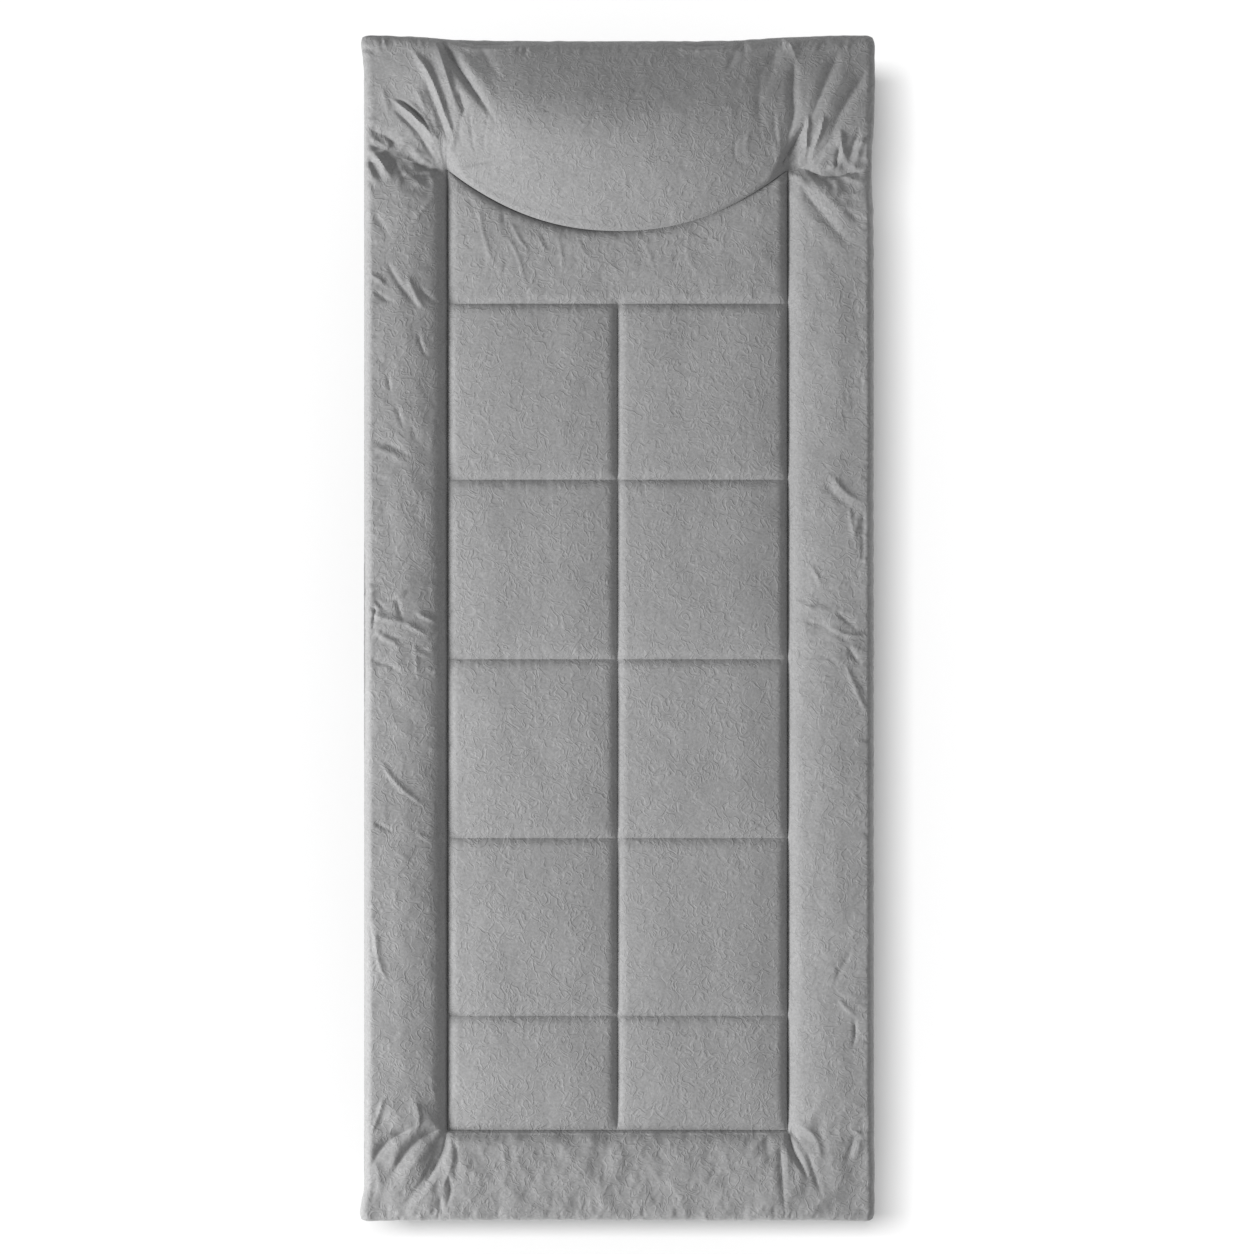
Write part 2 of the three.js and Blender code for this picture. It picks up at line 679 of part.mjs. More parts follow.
// A plan point, drawn in to the round where the cover turns a corner of the bed
function roundedCorner(x, y) {
  const dx = Math.abs(x) - railX;
  const dy = Math.abs(y) - endY;
  const reach = Math.hypot(dx, dy);
  if (dx <= 0 || dy <= 0 || reach <= coverRadius) return [x, y];
  const share = coverRadius / reach;
  return [Math.sign(x) * (railX + dx * share), Math.sign(y) * (endY + dy * share)];
}

function sideBolsterPad(side, low, high, shares) {
  const near = side * (seamX + seamGap / 2);
  const far = side * coverX;
  const columns = bolsterShares.map(between(near, far)).sort((a, b) => a - b);
  const rows = shares.map(between(low, high));
  return pad(columns, rows, roundedCorner, sideBolsterTop);
}

// The cover's skin round a rail: down its outer side and turned in under it. Its inner face is
// cut later, with the room for the rail. low and high are the ends along Y.
function skirtY(side, low, high) {
  const inner = coverClearRadius - skin;
  const top = padBottom + gap;
  const outward = side > 0 ? 0 : Math.PI;
  const hem = outward - side * hemAngle;
  const shape = new THREE.Shape();
  shape.moveTo(side * inner, top);
  shape.lineTo(side * coverRadius, top);
  shape.lineTo(side * coverRadius, 0);
  shape.absarc(0, 0, coverRadius, outward, hem, side > 0);
  shape.absarc(0, 0, inner, hem, outward, side < 0);
  shape.lineTo(side * inner, top);
  return solid(runAlongY(shape, low, high).translate(side * railX, 0, 0));
}

// The same along the head or the foot. low and high are the ends along X.
function skirtX(end, low, high) {
  const [from, to] = end > 0 ? [-high, -low] : [low, high];
  const strip = geometryOf(skirtY(1, from, to)).translate(-railX, 0, 0);
  return solid(strip.rotateZ((end * Math.PI) / 2).translate(0, end * endY, 0));
}

// Room for the rails in their sleeves, for the end tubes and for the corner balls
function railRoom() {
  const alongSides = sides.map(([, side]) => {
    const outline = sleeveOutline(side, coverClearRadius, slingThickness / 2);
    return solid(runAlongY(outline, -endY, endY).translate(side * railX, 0, 0));
  });
  const alongEnds = [endY, -endY].map((y) => barX(coverClearRadius, 2 * railX, [0, y, 0]));
  const corners = sides.flatMap(([, side]) =>
    [endY, -endY].map((y) => ball(knobClearRadius, [side * railX, y, 0])),
  );
  return [...alongSides, ...alongEnds, ...corners];
}

// Room for the hinge as it turns, and for the leg brackets and cross tubes under the cover's hem
function hardwareRoom() {
  const rooms = [];
  for (const [, side] of sides) {
    const xs = [side * hingeClearX, side * (railX + coverRadius + overrun)].sort((a, b) => a - b);
    const top = railRadius + 2 * gap;
    const deep = -legPivotDrop - earReach;
    rooms.push(boxBetween([xs[0], -hingeClearY, deep], [xs[1], hingeClearY, top]));
    const windows = [
      [footCrossY - crossRadius - windowSlack, -hingeClearY + overrun],
      [hingeClearY - overrun, headCrossY + crossRadius + windowSlack],
      [-endLegY - windowReach, -endLegY + windowReach],
      [endLegY - windowReach, endLegY + windowReach],
    ];
    for (const [low, high] of windows) {
      const inner = side * (railX - sleeveTaper);
      const [x0, x1] = [inner, xs[side > 0 ? 1 : 0]].sort((a, b) => a - b);
      rooms.push(boxBetween([x0, low, deep], [x1, high, gap]));
    }
  }
  return rooms;
}

const cutRooms = [...railRoom(), ...hardwareRoom()];

const knob = (side, end) => ball(knobRadius, [side * railX, end * endY, 0]);

function footBolster(side) {
  const low = -coverY;
  const high = -pinY - tipDistance;
  const inner = side * (seamX + seamGap / 2);
  const outer = side * railX;
  const body = joined(
    sideBolsterPad(side, low, high, footLengthShares),
    skirtY(side, -endY, high),
    skirtX(-1, Math.min(inner, outer), Math.max(inner, outer)),
    knob(side, -1),
  );
  return cut(body, ...cutRooms);
}

function headBolster(side) {
  const body = joined(
    sideBolsterPad(side, pinY + tipDistance, pillowSeamY - seamGap, headLengthShares),
    skirtY(side, pinY + tipDistance, pillowSeamY - seamGap),
  );
  return cut(body, ...cutRooms);
}

function foldBolster(side) {
  const reach = pinY - tipDistance;
  return cut(sideBolsterPad(side, -reach, reach, foldLengthShares), ...cutRooms);
}

function footEndBolster() {
  const reach = seamX - seamGap / 2;
  const rows = bolsterShares.map((share) => between(footSeamY - seamGap, -coverY)(share)).reverse();
  const columns = endShares.map(between(-reach, reach));
  const body = joined(
    pad(columns, rows, (x, y) => [x, y], footBolsterTop),
    skirtX(-1, -reach, reach),
  );
  return cut(body, ...cutRooms);
}

// The pillow's height: a rolled edge all round and a dome of stuffing inside it
function pillowTop(x, y) {
  const fromFront = y - pillowFront(x);
  const fromBack = coverY - y;
  const fromSide = coverX - Math.abs(x);
  const roll =
    quarterRound(fromFront / pillowFrontRoll) *
    quarterRound(fromBack / outerRoll) *
    quarterRound(fromSide / outerRoll);
  const dome =
    easing(fromFront / pillowFrontRun) *
    easing(fromBack / pillowBackRun) *
    easing(fromSide / pillowSideRun);
  const rim = Math.min(fromFront < fromBack ? seamTop : edgeTop, edgeTop);
  return rim + (seamTop + pillowRoll - rim) * roll + pillowDome * dome;
}

function pillow() {
  const reach = seamX - seamGap / 2;
  const outer = pillowSideShares.map(between(reach, coverX));
  const columns = [...outer.map((x) => -x).reverse(), ...quiltColumns, ...outer];
  const place = (x, share) => roundedCorner(x, between(pillowFront(x), coverY)(share));
  const body = joined(
    pad(columns, pillowRowShares, place, pillowTop),
    skirtX(1, -railX, railX),
    ...sides.map(([, side]) => skirtY(side, pillowSeamY, endY)),
    ...sides.map(([, side]) => knob(side, 1)),
  );
  return cut(body, ...cutRooms);
}

function addSoftParts() {
  piece("head_sling", sling(1), slingFabric);
  piece("foot_sling", sling(-1), slingFabric);
  piece("fold_sling", foldSling(), slingFabric);
  piece("head_quilt", headQuilt(), coverFabric);
  piece("fold_quilt", quilt(-pinY + tipDistance, pinY - tipDistance), coverFabric);
  piece("foot_quilt", quilt(footSeamY, -pinY - tipDistance), coverFabric);
  for (const [word, side] of sides) {
    piece(`head_bolster_${word}`, headBolster(side), coverFabric);
    piece(`fold_bolster_${word}`, foldBolster(side), coverFabric);
    piece(`foot_bolster_${word}`, footBolster(side), coverFabric);
  }
  piece("foot_end_bolster", footEndBolster(), coverFabric);
  piece("pillow", pillow(), coverFabric);
}

addFrame();
addLegs();
addSoftParts();

export default camp;
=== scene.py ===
"""Dresses the folding camp bed's frame with its padded cover, sling, tubes and fittings.

Lengths in the shape code are millimetres. Places along X and Y count from the middle of the bed,
heights of the cover and the sling from the rails' axis. A mesh is made in metres.
"""

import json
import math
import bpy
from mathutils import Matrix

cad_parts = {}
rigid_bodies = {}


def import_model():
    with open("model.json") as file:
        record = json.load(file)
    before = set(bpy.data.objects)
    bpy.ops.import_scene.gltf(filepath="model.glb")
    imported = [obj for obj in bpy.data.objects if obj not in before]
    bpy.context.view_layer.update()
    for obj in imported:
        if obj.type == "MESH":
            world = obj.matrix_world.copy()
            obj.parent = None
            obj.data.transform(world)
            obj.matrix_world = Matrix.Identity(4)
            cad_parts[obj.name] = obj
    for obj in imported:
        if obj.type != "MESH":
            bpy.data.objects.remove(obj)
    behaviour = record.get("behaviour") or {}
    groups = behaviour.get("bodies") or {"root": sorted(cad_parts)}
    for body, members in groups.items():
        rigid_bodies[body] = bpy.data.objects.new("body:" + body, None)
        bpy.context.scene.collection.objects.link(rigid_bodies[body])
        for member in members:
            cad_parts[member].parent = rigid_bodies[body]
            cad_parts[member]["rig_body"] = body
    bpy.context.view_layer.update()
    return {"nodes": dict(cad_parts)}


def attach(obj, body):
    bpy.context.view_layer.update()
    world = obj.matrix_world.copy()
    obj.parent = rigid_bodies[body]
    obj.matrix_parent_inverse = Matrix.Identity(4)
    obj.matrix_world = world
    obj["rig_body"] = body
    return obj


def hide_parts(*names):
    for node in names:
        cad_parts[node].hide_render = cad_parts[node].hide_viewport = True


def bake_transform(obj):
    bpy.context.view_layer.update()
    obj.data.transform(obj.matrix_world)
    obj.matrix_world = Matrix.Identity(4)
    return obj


bl_info = {
    "name": "Folding Camp Bed",
    "version": (1, 0, 0),
    "blender": (4, 5, 0),
    "location": "3D View > Sidebar > Camp Bed",
    "description": "Padded cover, sling, tubes and fittings of a folding camp bed",
    "category": "Object",
}

import bpy
import numpy as np
from mathutils import Matrix, Vector

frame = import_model()

MM = 0.001
SIDES = (("left", 1), ("right", -1))
HALVES = (("head", 1), ("foot", -1))

# Places shared with the frame's source
RAIL_X = 390.7
END_Y = 926.7
RAIL_Z = 350.0
RAIL_RADIUS = 12.5
TUBE_WALL = 1.5
LEG_RADIUS = 11.0
CROSS_RADIUS = 8.0
CROSS_DROP = 9.6
COVER_RADIUS = 16.6
CLEAR_RADIUS = 14.6
KNOB_RADIUS = 22.3
COVER_X = RAIL_X + COVER_RADIUS
COVER_Y = END_Y + COVER_RADIUS
SEAM_X = 273.8
FOOT_SEAM_Y = -806.8
PIN_Y = 75.0
PAD_BOTTOM = 1.55
SEAM_GAP = 0.4
PILLOW_Y = 737.0
PILLOW_DEPTH = 206.3
PILLOW_DROP = 98.0
PILLOW_POWER = 2.15
PILLOW_BOTTOM_Y = 790.0
QUILT_SEAMS = (522.0, 239.0, -49.5, -336.9, -622.5)
HEM_ANGLE = 2.1
END_LEG_Y = 850.7
MIDDLE_LEG_Y = -140.0
PIVOT_DROP = 38.0
LEG_SPLAY = math.radians(8)
LEG_TOP = 10.0
LEG_BEND = 60.0
GLIDE_AXIS_Z = 15.0
LEG_LENGTH = (RAIL_Z - PIVOT_DROP - GLIDE_AXIS_Z) / math.cos(LEG_SPLAY)
GLIDE_X = 298.7
LEGS = (("head", END_LEG_Y, 1), ("middle", MIDDLE_LEG_Y, 1), ("foot", -END_LEG_Y, -1))

# Height of the bed's top, over which the camera's height is counted
BED_TOP = RAIL_Z + 45.0

# Where tubes start, inwards from the axis of the rail or end tube that they meet
CORNER_START = 16.3
CROSS_START = 10.5
HINGE_CROSS_START = 14.9
# Each cross tube's name, its place along the bed and where it starts
CROSS_TUBES = (("head", 130.0, CROSS_START), ("foot", -192.0, CROSS_START),
               ("hinge", 0.0, HINGE_CROSS_START))

# Radius and height of each pin's head, and the distance between its two heads
PIN_SIZES = {"hinge": (4.0, 7.0, 1.2, 29.5), "leg": (3.0, 5.5, 1.6, 27.5)}

# Along the bed, where cover and sling leave the rails free for the hinge, the two cross tubes
# beside it, the middle leg and the end legs
HINGE_ROOM = (-105.0, 105.0)
FOOT_CROSS_ROOM = (-203.0, -100.0)
HEAD_CROSS_ROOM = (100.0, 141.0)
FOOT_LEG_ROOM = (-875.7, -825.7)
HEAD_LEG_ROOM = (825.7, 875.7)

# The sling's far end, and the lengths in which it is sewn round the rails, by half
SLING_END = 907.1
SLEEVES = {-1: (FOOT_LEG_ROOM[1], FOOT_CROSS_ROOM[0]), 1: (HEAD_CROSS_ROOM[1], HEAD_LEG_ROOM[0])}

# The skirt falls from the top's edge to the rail's axis and then turns in round the rail. It is
# cut short over the hardware: each place, and the length that is left there.
SKIRT_FALL = 16.0
HEM_CHANGE = 6.0
HEM_THICKNESS = 0.7
SHORT_SKIRT = 15.6
SKIRT_AT_HINGE = 2.6
SKIRT_CUTS = ((FOOT_CROSS_ROOM, SHORT_SKIRT), (HEAD_CROSS_ROOM, SHORT_SKIRT),
              (FOOT_LEG_ROOM, SHORT_SKIRT), (HEAD_LEG_ROOM, SHORT_SKIRT), (HINGE_ROOM, SKIRT_AT_HINGE))
SKIRT_ROWS = (0.06, 0.12, 0.18, 0.245, 0.315, 0.38, 0.46, 0.54, 0.62, 0.70, 0.78, 0.84, 0.86, 0.93, 1.0)
HEM_START = 0.85
KNOB_REACH = 16.0

# Grid lines of the cover: the finest distance, the runs over which they close up, the greatest
# distance where the bed folds, and the last few lines before an outer edge
FINE_STEP = 0.9
SEAM_RUN = 16.0
SIDE_RUN = 18.0
BACK_RUN = 20.0
FOLD_STEP = 2.9
EDGE_LINES = np.array([0.0, 0.25, 0.7, 1.5, 2.7])

# How far the cover stands off the frame's straight outline: places along an edge, and how far out
LEFT_EDGE = ((-946, 8), (-922, 6), (-895, 0), (-860, -1.6), (600, -1.6), (860, -0.5), (905, 2),
             (930, 5), (946, 6.5))
RIGHT_EDGE = ((-946, 6), (-900, 6), (-700, 5), (0, 4.5), (600, 4.5), (710, 1.5), (760, 1.5),
              (820, 5), (900, 6), (946, 6))
HEAD_EDGE = ((-407, 10), (-360, 9.5), (-330, 8), (-300, 6), (-250, 2.5), (-150, 1), (150, 1),
             (230, 4.5), (290, 7.5), (340, 9.5), (407, 10))
FOOT_EDGE = ((-407, 9.5), (-380, 9), (-300, 8), (0, 7.5), (300, 8), (407, 9.5))
OUTLINE_RUN = 90.0

# Where the pillow is drawn down to the side bolsters
LEFT_PINCH = ((-273.8, 737), (-300, 741), (-345, 753), (-378, 769), (-412, 778))
RIGHT_PINCH = ((273.8, 737), (298, 740), (324, 729), (352, 727), (412, 736))


class CampBedSizes(bpy.types.PropertyGroup):
    """Sizes of the padding and of the cover's relief"""

    seam_height: bpy.props.FloatProperty(
        name="Seam height", description="Height of a sewn seam above the rails' axis",
        default=0.008, unit="LENGTH", subtype="DISTANCE")
    edge_height: bpy.props.FloatProperty(
        name="Edge height", description="Height where the cover turns down at its outer edge",
        default=0.016, unit="LENGTH", subtype="DISTANCE")
    quilt_height: bpy.props.FloatProperty(
        name="Quilt height", description="Height of a quilted cell's crown",
        default=0.027, unit="LENGTH", subtype="DISTANCE")
    bolster_height: bpy.props.FloatProperty(
        name="Bolster height", description="Height of the bolsters' crown",
        default=0.040, unit="LENGTH", subtype="DISTANCE")
    pillow_roll: bpy.props.FloatProperty(
        name="Pillow roll", description="Height of the pillow's rolled edge",
        default=0.033, unit="LENGTH", subtype="DISTANCE")
    pillow_dome: bpy.props.FloatProperty(
        name="Pillow dome", description="Rise of the pillow's stuffing over its rolled edge",
        default=0.072, unit="LENGTH", subtype="DISTANCE")
    mesh_step: bpy.props.FloatProperty(
        name="Mesh step", description="Distance between the cover's grid lines",
        default=0.0024, unit="LENGTH", subtype="DISTANCE")
    fold_strength: bpy.props.FloatProperty(
        name="Fold strength", description="How strong the cover's folds are",
        default=1.0, min=0.0, subtype="FACTOR")
    pucker_strength: bpy.props.FloatProperty(
        name="Pucker strength", description="How strong the small puckers along seams are",
        default=1.0, min=0.0, subtype="FACTOR")
    sling_thickness: bpy.props.FloatProperty(
        name="Sling thickness", description="Thickness of the load-bearing cloth",
        default=0.0012, unit="LENGTH", subtype="DISTANCE")
    edge_bevel: bpy.props.FloatProperty(
        name="Edge bevel", description="Round on the edges of stamped steel",
        default=0.0004, unit="LENGTH", subtype="DISTANCE")


class CampBedColours(bpy.types.PropertyGroup):
    """Colours of the finishes"""

    cover: bpy.props.FloatVectorProperty(
        name="Cover", description="Peached cover fabric", size=3, subtype="COLOR",
        default=(0.295, 0.295, 0.297))
    sling: bpy.props.FloatVectorProperty(
        name="Sling", description="Woven sling cloth", size=3, subtype="COLOR",
        default=(0.044, 0.047, 0.052))
    coated: bpy.props.FloatVectorProperty(
        name="Coated steel", description="Powder coat on the tubes", size=3, subtype="COLOR",
        default=(0.034, 0.038, 0.043))
    zinc: bpy.props.FloatVectorProperty(
        name="Zinc", description="Zinc on hinges, brackets and pins", size=3, subtype="COLOR",
        default=(0.46, 0.47, 0.48))
    plastic: bpy.props.FloatVectorProperty(
        name="Plastic", description="Corners and floor glides", size=3, subtype="COLOR",
        default=(0.013, 0.0135, 0.014))


class CampBedStudio(bpy.types.PropertyGroup):
    """Camera and light"""

    camera_height: bpy.props.FloatProperty(
        name="Camera height", description="Camera above the top of the bolsters",
        default=12.0, unit="LENGTH", subtype="DISTANCE")
    frame_width: bpy.props.FloatProperty(
        name="Frame width", description="Width that the picture takes in at the bed's top",
        default=2.0107, unit="LENGTH", subtype="DISTANCE")
    key_power: bpy.props.FloatProperty(
        name="Key light", description="Power of the raking light from the left",
        default=405.0, unit="POWER")
    top_power: bpy.props.FloatProperty(
        name="Floor light", description="Power of the overhead light on the floor",
        default=82000.0, unit="POWER")
    surroundings: bpy.props.FloatProperty(
        name="Surroundings", description="Strength of the pale surroundings",
        default=0.42, min=0.0)
    floor_colour: bpy.props.FloatVectorProperty(
        name="Floor", description="Pale floor", size=3, subtype="COLOR",
        default=(0.9, 0.9, 0.9))


def sizes():
    """The scene's sizes of padding and relief"""
    return bpy.context.scene.camp_bed_sizes


def colours():
    """The scene's colours of the finishes"""
    return bpy.context.scene.camp_bed_colours


def studio():
    """The scene's camera and light settings"""
    return bpy.context.scene.camp_bed_studio


# Small curves and noise

def clamped(value):
    """The value kept between 0 and 1"""
    return np.clip(value, 0.0, 1.0)


def eased(value):
    """From 0 to 1, level at both ends"""
    t = clamped(value)
    return t * t * (3 - 2 * t)


def rounded(value):
    """From 0 to 1 along a quarter of a circle, steep at 0"""
    return np.sqrt(1 - (1 - clamped(value)) ** 2)


def arched(value):
    """From 0 to 1 along a quarter of a sine wave"""
    return np.sin(clamped(value) * math.pi / 2)


def noise(x, y, seed):
    """Smooth noise in the plane, one hill or hollow to each unit, from about -1 to 1"""
    rng = np.random.default_rng(seed)
    order = rng.permutation(256)
    angle = rng.random(256) * 2 * math.pi
    column = np.floor(x).astype(int)
    row = np.floor(y).astype(int)
    u = x - column
    v = y - row

    def corner(i, j):
        pick = order[(order[(column + i) & 255] + row + j) & 255]
        return np.cos(angle[pick]) * (u - i) + np.sin(angle[pick]) * (v - j)

    su = eased(u)
    sv = eased(v)
    low = corner(0, 0) * (1 - su) + corner(1, 0) * su
    high = corner(0, 1) * (1 - su) + corner(1, 1) * su
    return 1.5 * (low * (1 - sv) + high * sv)


def creased(x, y, seed):
    """Noise with sharp crests, from 0 to 1"""
    return 1 - np.minimum(np.abs(noise(x, y, seed)) * 1.6, 1)


def graded(low, high, step, fine, run):
    """Grid lines from low to high, closer together near both ends"""
    samples = 4000
    places = np.linspace(low, high, samples + 1)
    near = np.minimum(places - low, high - places)
    spacing = fine + (step - fine) * eased(near / run)
    density = np.concatenate([[0], np.cumsum(0.5 * (1 / spacing[1:] + 1 / spacing[:-1]))])
    density *= (high - low) / samples
    count = max(2, int(math.ceil(density[-1])))
    return np.interp(np.linspace(0, density[-1], count + 1), density, places)


def graded_through(stops, step):
    """Grid lines through several stops, closer together at each"""
    lines = [graded(a, b, step, FINE_STEP, SEAM_RUN)[:-1] for a, b in zip(stops[:-1], stops[1:])]
    return np.concatenate(lines + [np.array([stops[-1]])])


# The cover's large folds: height, half width, lean of the steep side, and the points that it runs
# through on the bed's top. Left is the side of -X here and in the tables above. The pieces are
# named for someone who lies on the bed, whose left is the side of +X.

PINCH_LEFT = (-277.0, 732.0)
PINCH_RIGHT = (262.0, 733.0)

PILLOW_LEFT_FOLDS = (
    (7.5, 4, 0.0, ((-370, 856), (-331, 825), (-306, 801), (-291, 774), (-274, 732))),
    (-5.0, 4.5, 0.0, ((-366, 840), (-336, 812), (-318, 792), (-299, 762), (-281, 735))),
    (-6.0, 5, 0.0, ((-356, 852), (-326, 830), (-304, 806), (-293, 790))),
    (5.5, 4, -0.2, ((-348, 852), (-318, 828), (-296, 796), (-278, 758))),
    (3.0, 4, -0.2, ((-322, 870), (-312, 840), (-300, 812))),
    (2.5, 5, -0.2, ((-378, 870), (-372, 845), (-368, 820))),
    (8.5, 5.5, -0.2, ((-336, 930), (-306, 893), (-289, 858), (-276, 822), (-263, 788), (-262, 754))),
    (-6.0, 7, 0.0, ((-312, 890), (-300, 859), (-288, 829), (-275, 789), (-268, 760))),
    (6.5, 8, -0.5, ((-290, 936), (-273, 884), (-260, 844), (-250, 824))),
    (-6.0, 6, 0.0, ((-256, 866), (-248, 838), (-243, 812))),
    (-10.0, 7, 0.0, ((-292, 952), (-262, 908), (-237, 872), (-212, 836), (-184, 794))),
    (3.0, 9, -0.2, ((-262, 936), (-230, 892), (-206, 860), (-186, 826))),
    (-3.0, 9, 0.0, ((-221, 936), (-202, 899), (-182, 874))),
    (-5.5, 7, 0.0, ((-404, 806), (-385, 796), (-368, 786), (-351, 765))),
    (4.0, 6, 0.2, ((-401, 790), (-380, 778), (-362, 762))),
    (-5.0, 8, 0.0, ((-400, 752), (-386, 744), (-372, 742))),
    (4.5, 6, 0.2, ((-396, 766), (-380, 746), (-365, 722))),
    (-4.0, 5, 0.0, ((-407, 726), (-396, 714), (-388, 704))),
    (6.0, 6, -0.3, ((-396, 768), (-378, 746), (-358, 716))),
    (-5.5, 7, 0.0, ((-403, 762), (-390, 734), (-370, 708))),
    (-4.0, 6, 0.0, ((-372, 762), (-352, 738), (-338, 706))),
    (3.5, 4, 0.0, ((-350, 848), (-322, 817), (-298, 786))),
    (-3.0, 4, 0.0, ((-414, 925), (-402, 922), (-386, 924))),
    (2.5, 4, 0.0, ((-412, 917), (-400, 914), (-384, 917))),
    (-7.0, 9, 0.0, ((-275, 730), (-306, 740), (-345, 753))),
    (4.0, 6, 0.0, ((-348, 762), (-326, 764), (-310, 750), (-300, 744))),
    (-3.6, 3.4, 0.0, ((-276, 733), (-227, 746), (-172, 752))),
    (2.0, 5, 0.3, ((-270, 728), (-227, 738), (-170, 742))),
    (-1.8, 3, 0.0, ((-239, 716), (-196, 701), (-147, 697))),
    (-2.4, 3.0, 0.0, ((-239, 853), (-254, 795), (-239, 752))),
    (-2.4, 3.0, 0.0, ((-239, 838), (-233, 789), (-227, 746))),
    (-1.8, 2.6, 0.0, ((-205, 830), (-214, 780), (-209, 745))),
)
PILLOW_RIGHT_FOLDS = (
    (-11.5, 5.5, 0.0, ((254, 730), (272, 760), (289, 787), (309, 822))),
    (6.0, 3.5, 0.0, ((306, 828), (303, 776), (299, 738))),
    (6.5, 4, 0.0, ((332, 826), (324, 792), (308, 752))),
    (-6.0, 8, 0.0, ((285, 912), (281, 866), (282, 820), (274, 780))),
    (5.0, 6, -0.2, ((258, 950), (278, 930), (289, 900))),
    (-3.0, 12, 0.0, ((270, 940), (236, 896), (204, 858))),
    (-6.0, 8, 0.0, ((356, 925), (328, 862), (305, 802))),
    (-6.0, 8, 0.0, ((398, 900), (356, 828), (334, 768))),
    (3.0, 12, -0.2, ((372, 905), (345, 855), (322, 806))),
    (6.0, 5, -0.2, ((356, 806), (360, 768), (376, 732))),
    (-6.0, 4, 0.0, ((357, 780), (352, 752), (350, 726))),
    (5.0, 5, -0.2, ((394, 792), (386, 766), (382, 742))),
    (-5.0, 5, 0.0, ((384, 800), (376, 772), (368, 748))),
    (-3.0, 5, 0.0, ((404, 840), (400, 820), (397, 805))),
    (3.0, 6, 0.0, ((405, 800), (398, 770), (402, 745))),
    (-7.0, 8, 0.0, ((262, 733), (282, 737), (300, 739), (324, 728), (352, 726), (375, 732),
                    (406, 737))),
    (4.0, 5, 0.0, ((276, 742), (290, 746), (301, 741))),
    (-5.5, 10, 0.0, ((288, 722), (309, 690), (333, 660), (364, 623), (392, 610))),
    (4.5, 13, 0.2, ((305, 726), (333, 697), (357, 669), (380, 640))),
    (-3.0, 6, 0.0, ((360, 676), (379, 660), (405, 654))),
    (-3.0, 6, 0.0, ((200, 948), (190, 922), (170, 888))),
    (-2.5, 9, 0.0, ((232, 895), (226, 832), (236, 785))),
    (-2.2, 9, 0.0, ((256, 930), (247, 890), (232, 850))),
    (-1.6, 2.6, 0.0, ((189, 792), (192, 750), (240, 738))),
    (1.8, 4, 0.0, ((212, 800), (206, 770), (214, 745))),
    (1.6, 4, 0.0, ((232, 800), (240, 775), (252, 752))),
)
HEAD_EDGE_FOLDS = (
    (-3.0, 3.5, 0.0, ((-275, 943), (-223, 935), (-171, 937), (-112, 941))),
    (2.2, 4.5, 0.0, ((-275, 936), (-223, 929), (-171, 931), (-105, 936))),
    (-2.4, 3.0, 0.0, ((-98, 941), (-94, 930), (-91, 918))),
    (-3.2, 3.5, 0.0, ((70, 941), (120, 934), (174, 935), (202, 943))),
    (2.4, 4.5, 0.0, ((85, 935), (125, 928), (174, 929), (198, 935))),
    (-2.4, 4.0, 0.0, ((200, 944), (203, 930), (206, 916))),
    (-2.4, 5.0, 0.0, ((-280, 946), (-272, 930), (-262, 912))),
)
QUILT_FOLDS = (
    (1.6, 2.8, 0.2, ((-219, 690), (-220, 660), (-208, 608), (-188, 570))),
    (1.8, 2.8, 0.2, ((-173, 655), (-156, 623), (-139, 603))),
    (1.5, 2.8, 0.2, ((-179, 633), (-159, 595), (-145, 537))),
    (-1.6, 2.6, 0.0, ((-184, 671), (-182, 655), (-180, 645))),
    (1.2, 2.8, 0.0, ((-98, 640), (-88, 592), (-92, 556))),
    (-1.2, 4.0, 0.0, ((-240, 702), (-232, 672), (-226, 650))),
    (1.0, 2.6, 0.0, ((-130, 640), (-118, 612), (-98, 600))),
    (1.0, 2.6, 0.0, ((-66, 632), (-50, 600), (-24, 586))),
    (-0.9, 4.0, 0.0, ((-120, 640), (-114, 618), (-110, 600))),
    (1.0, 2.8, 0.0, ((118, 652), (112, 610), (120, 566))),
    (0.9, 2.8, 0.0, ((30, 634), (52, 600), (60, 560))),
)
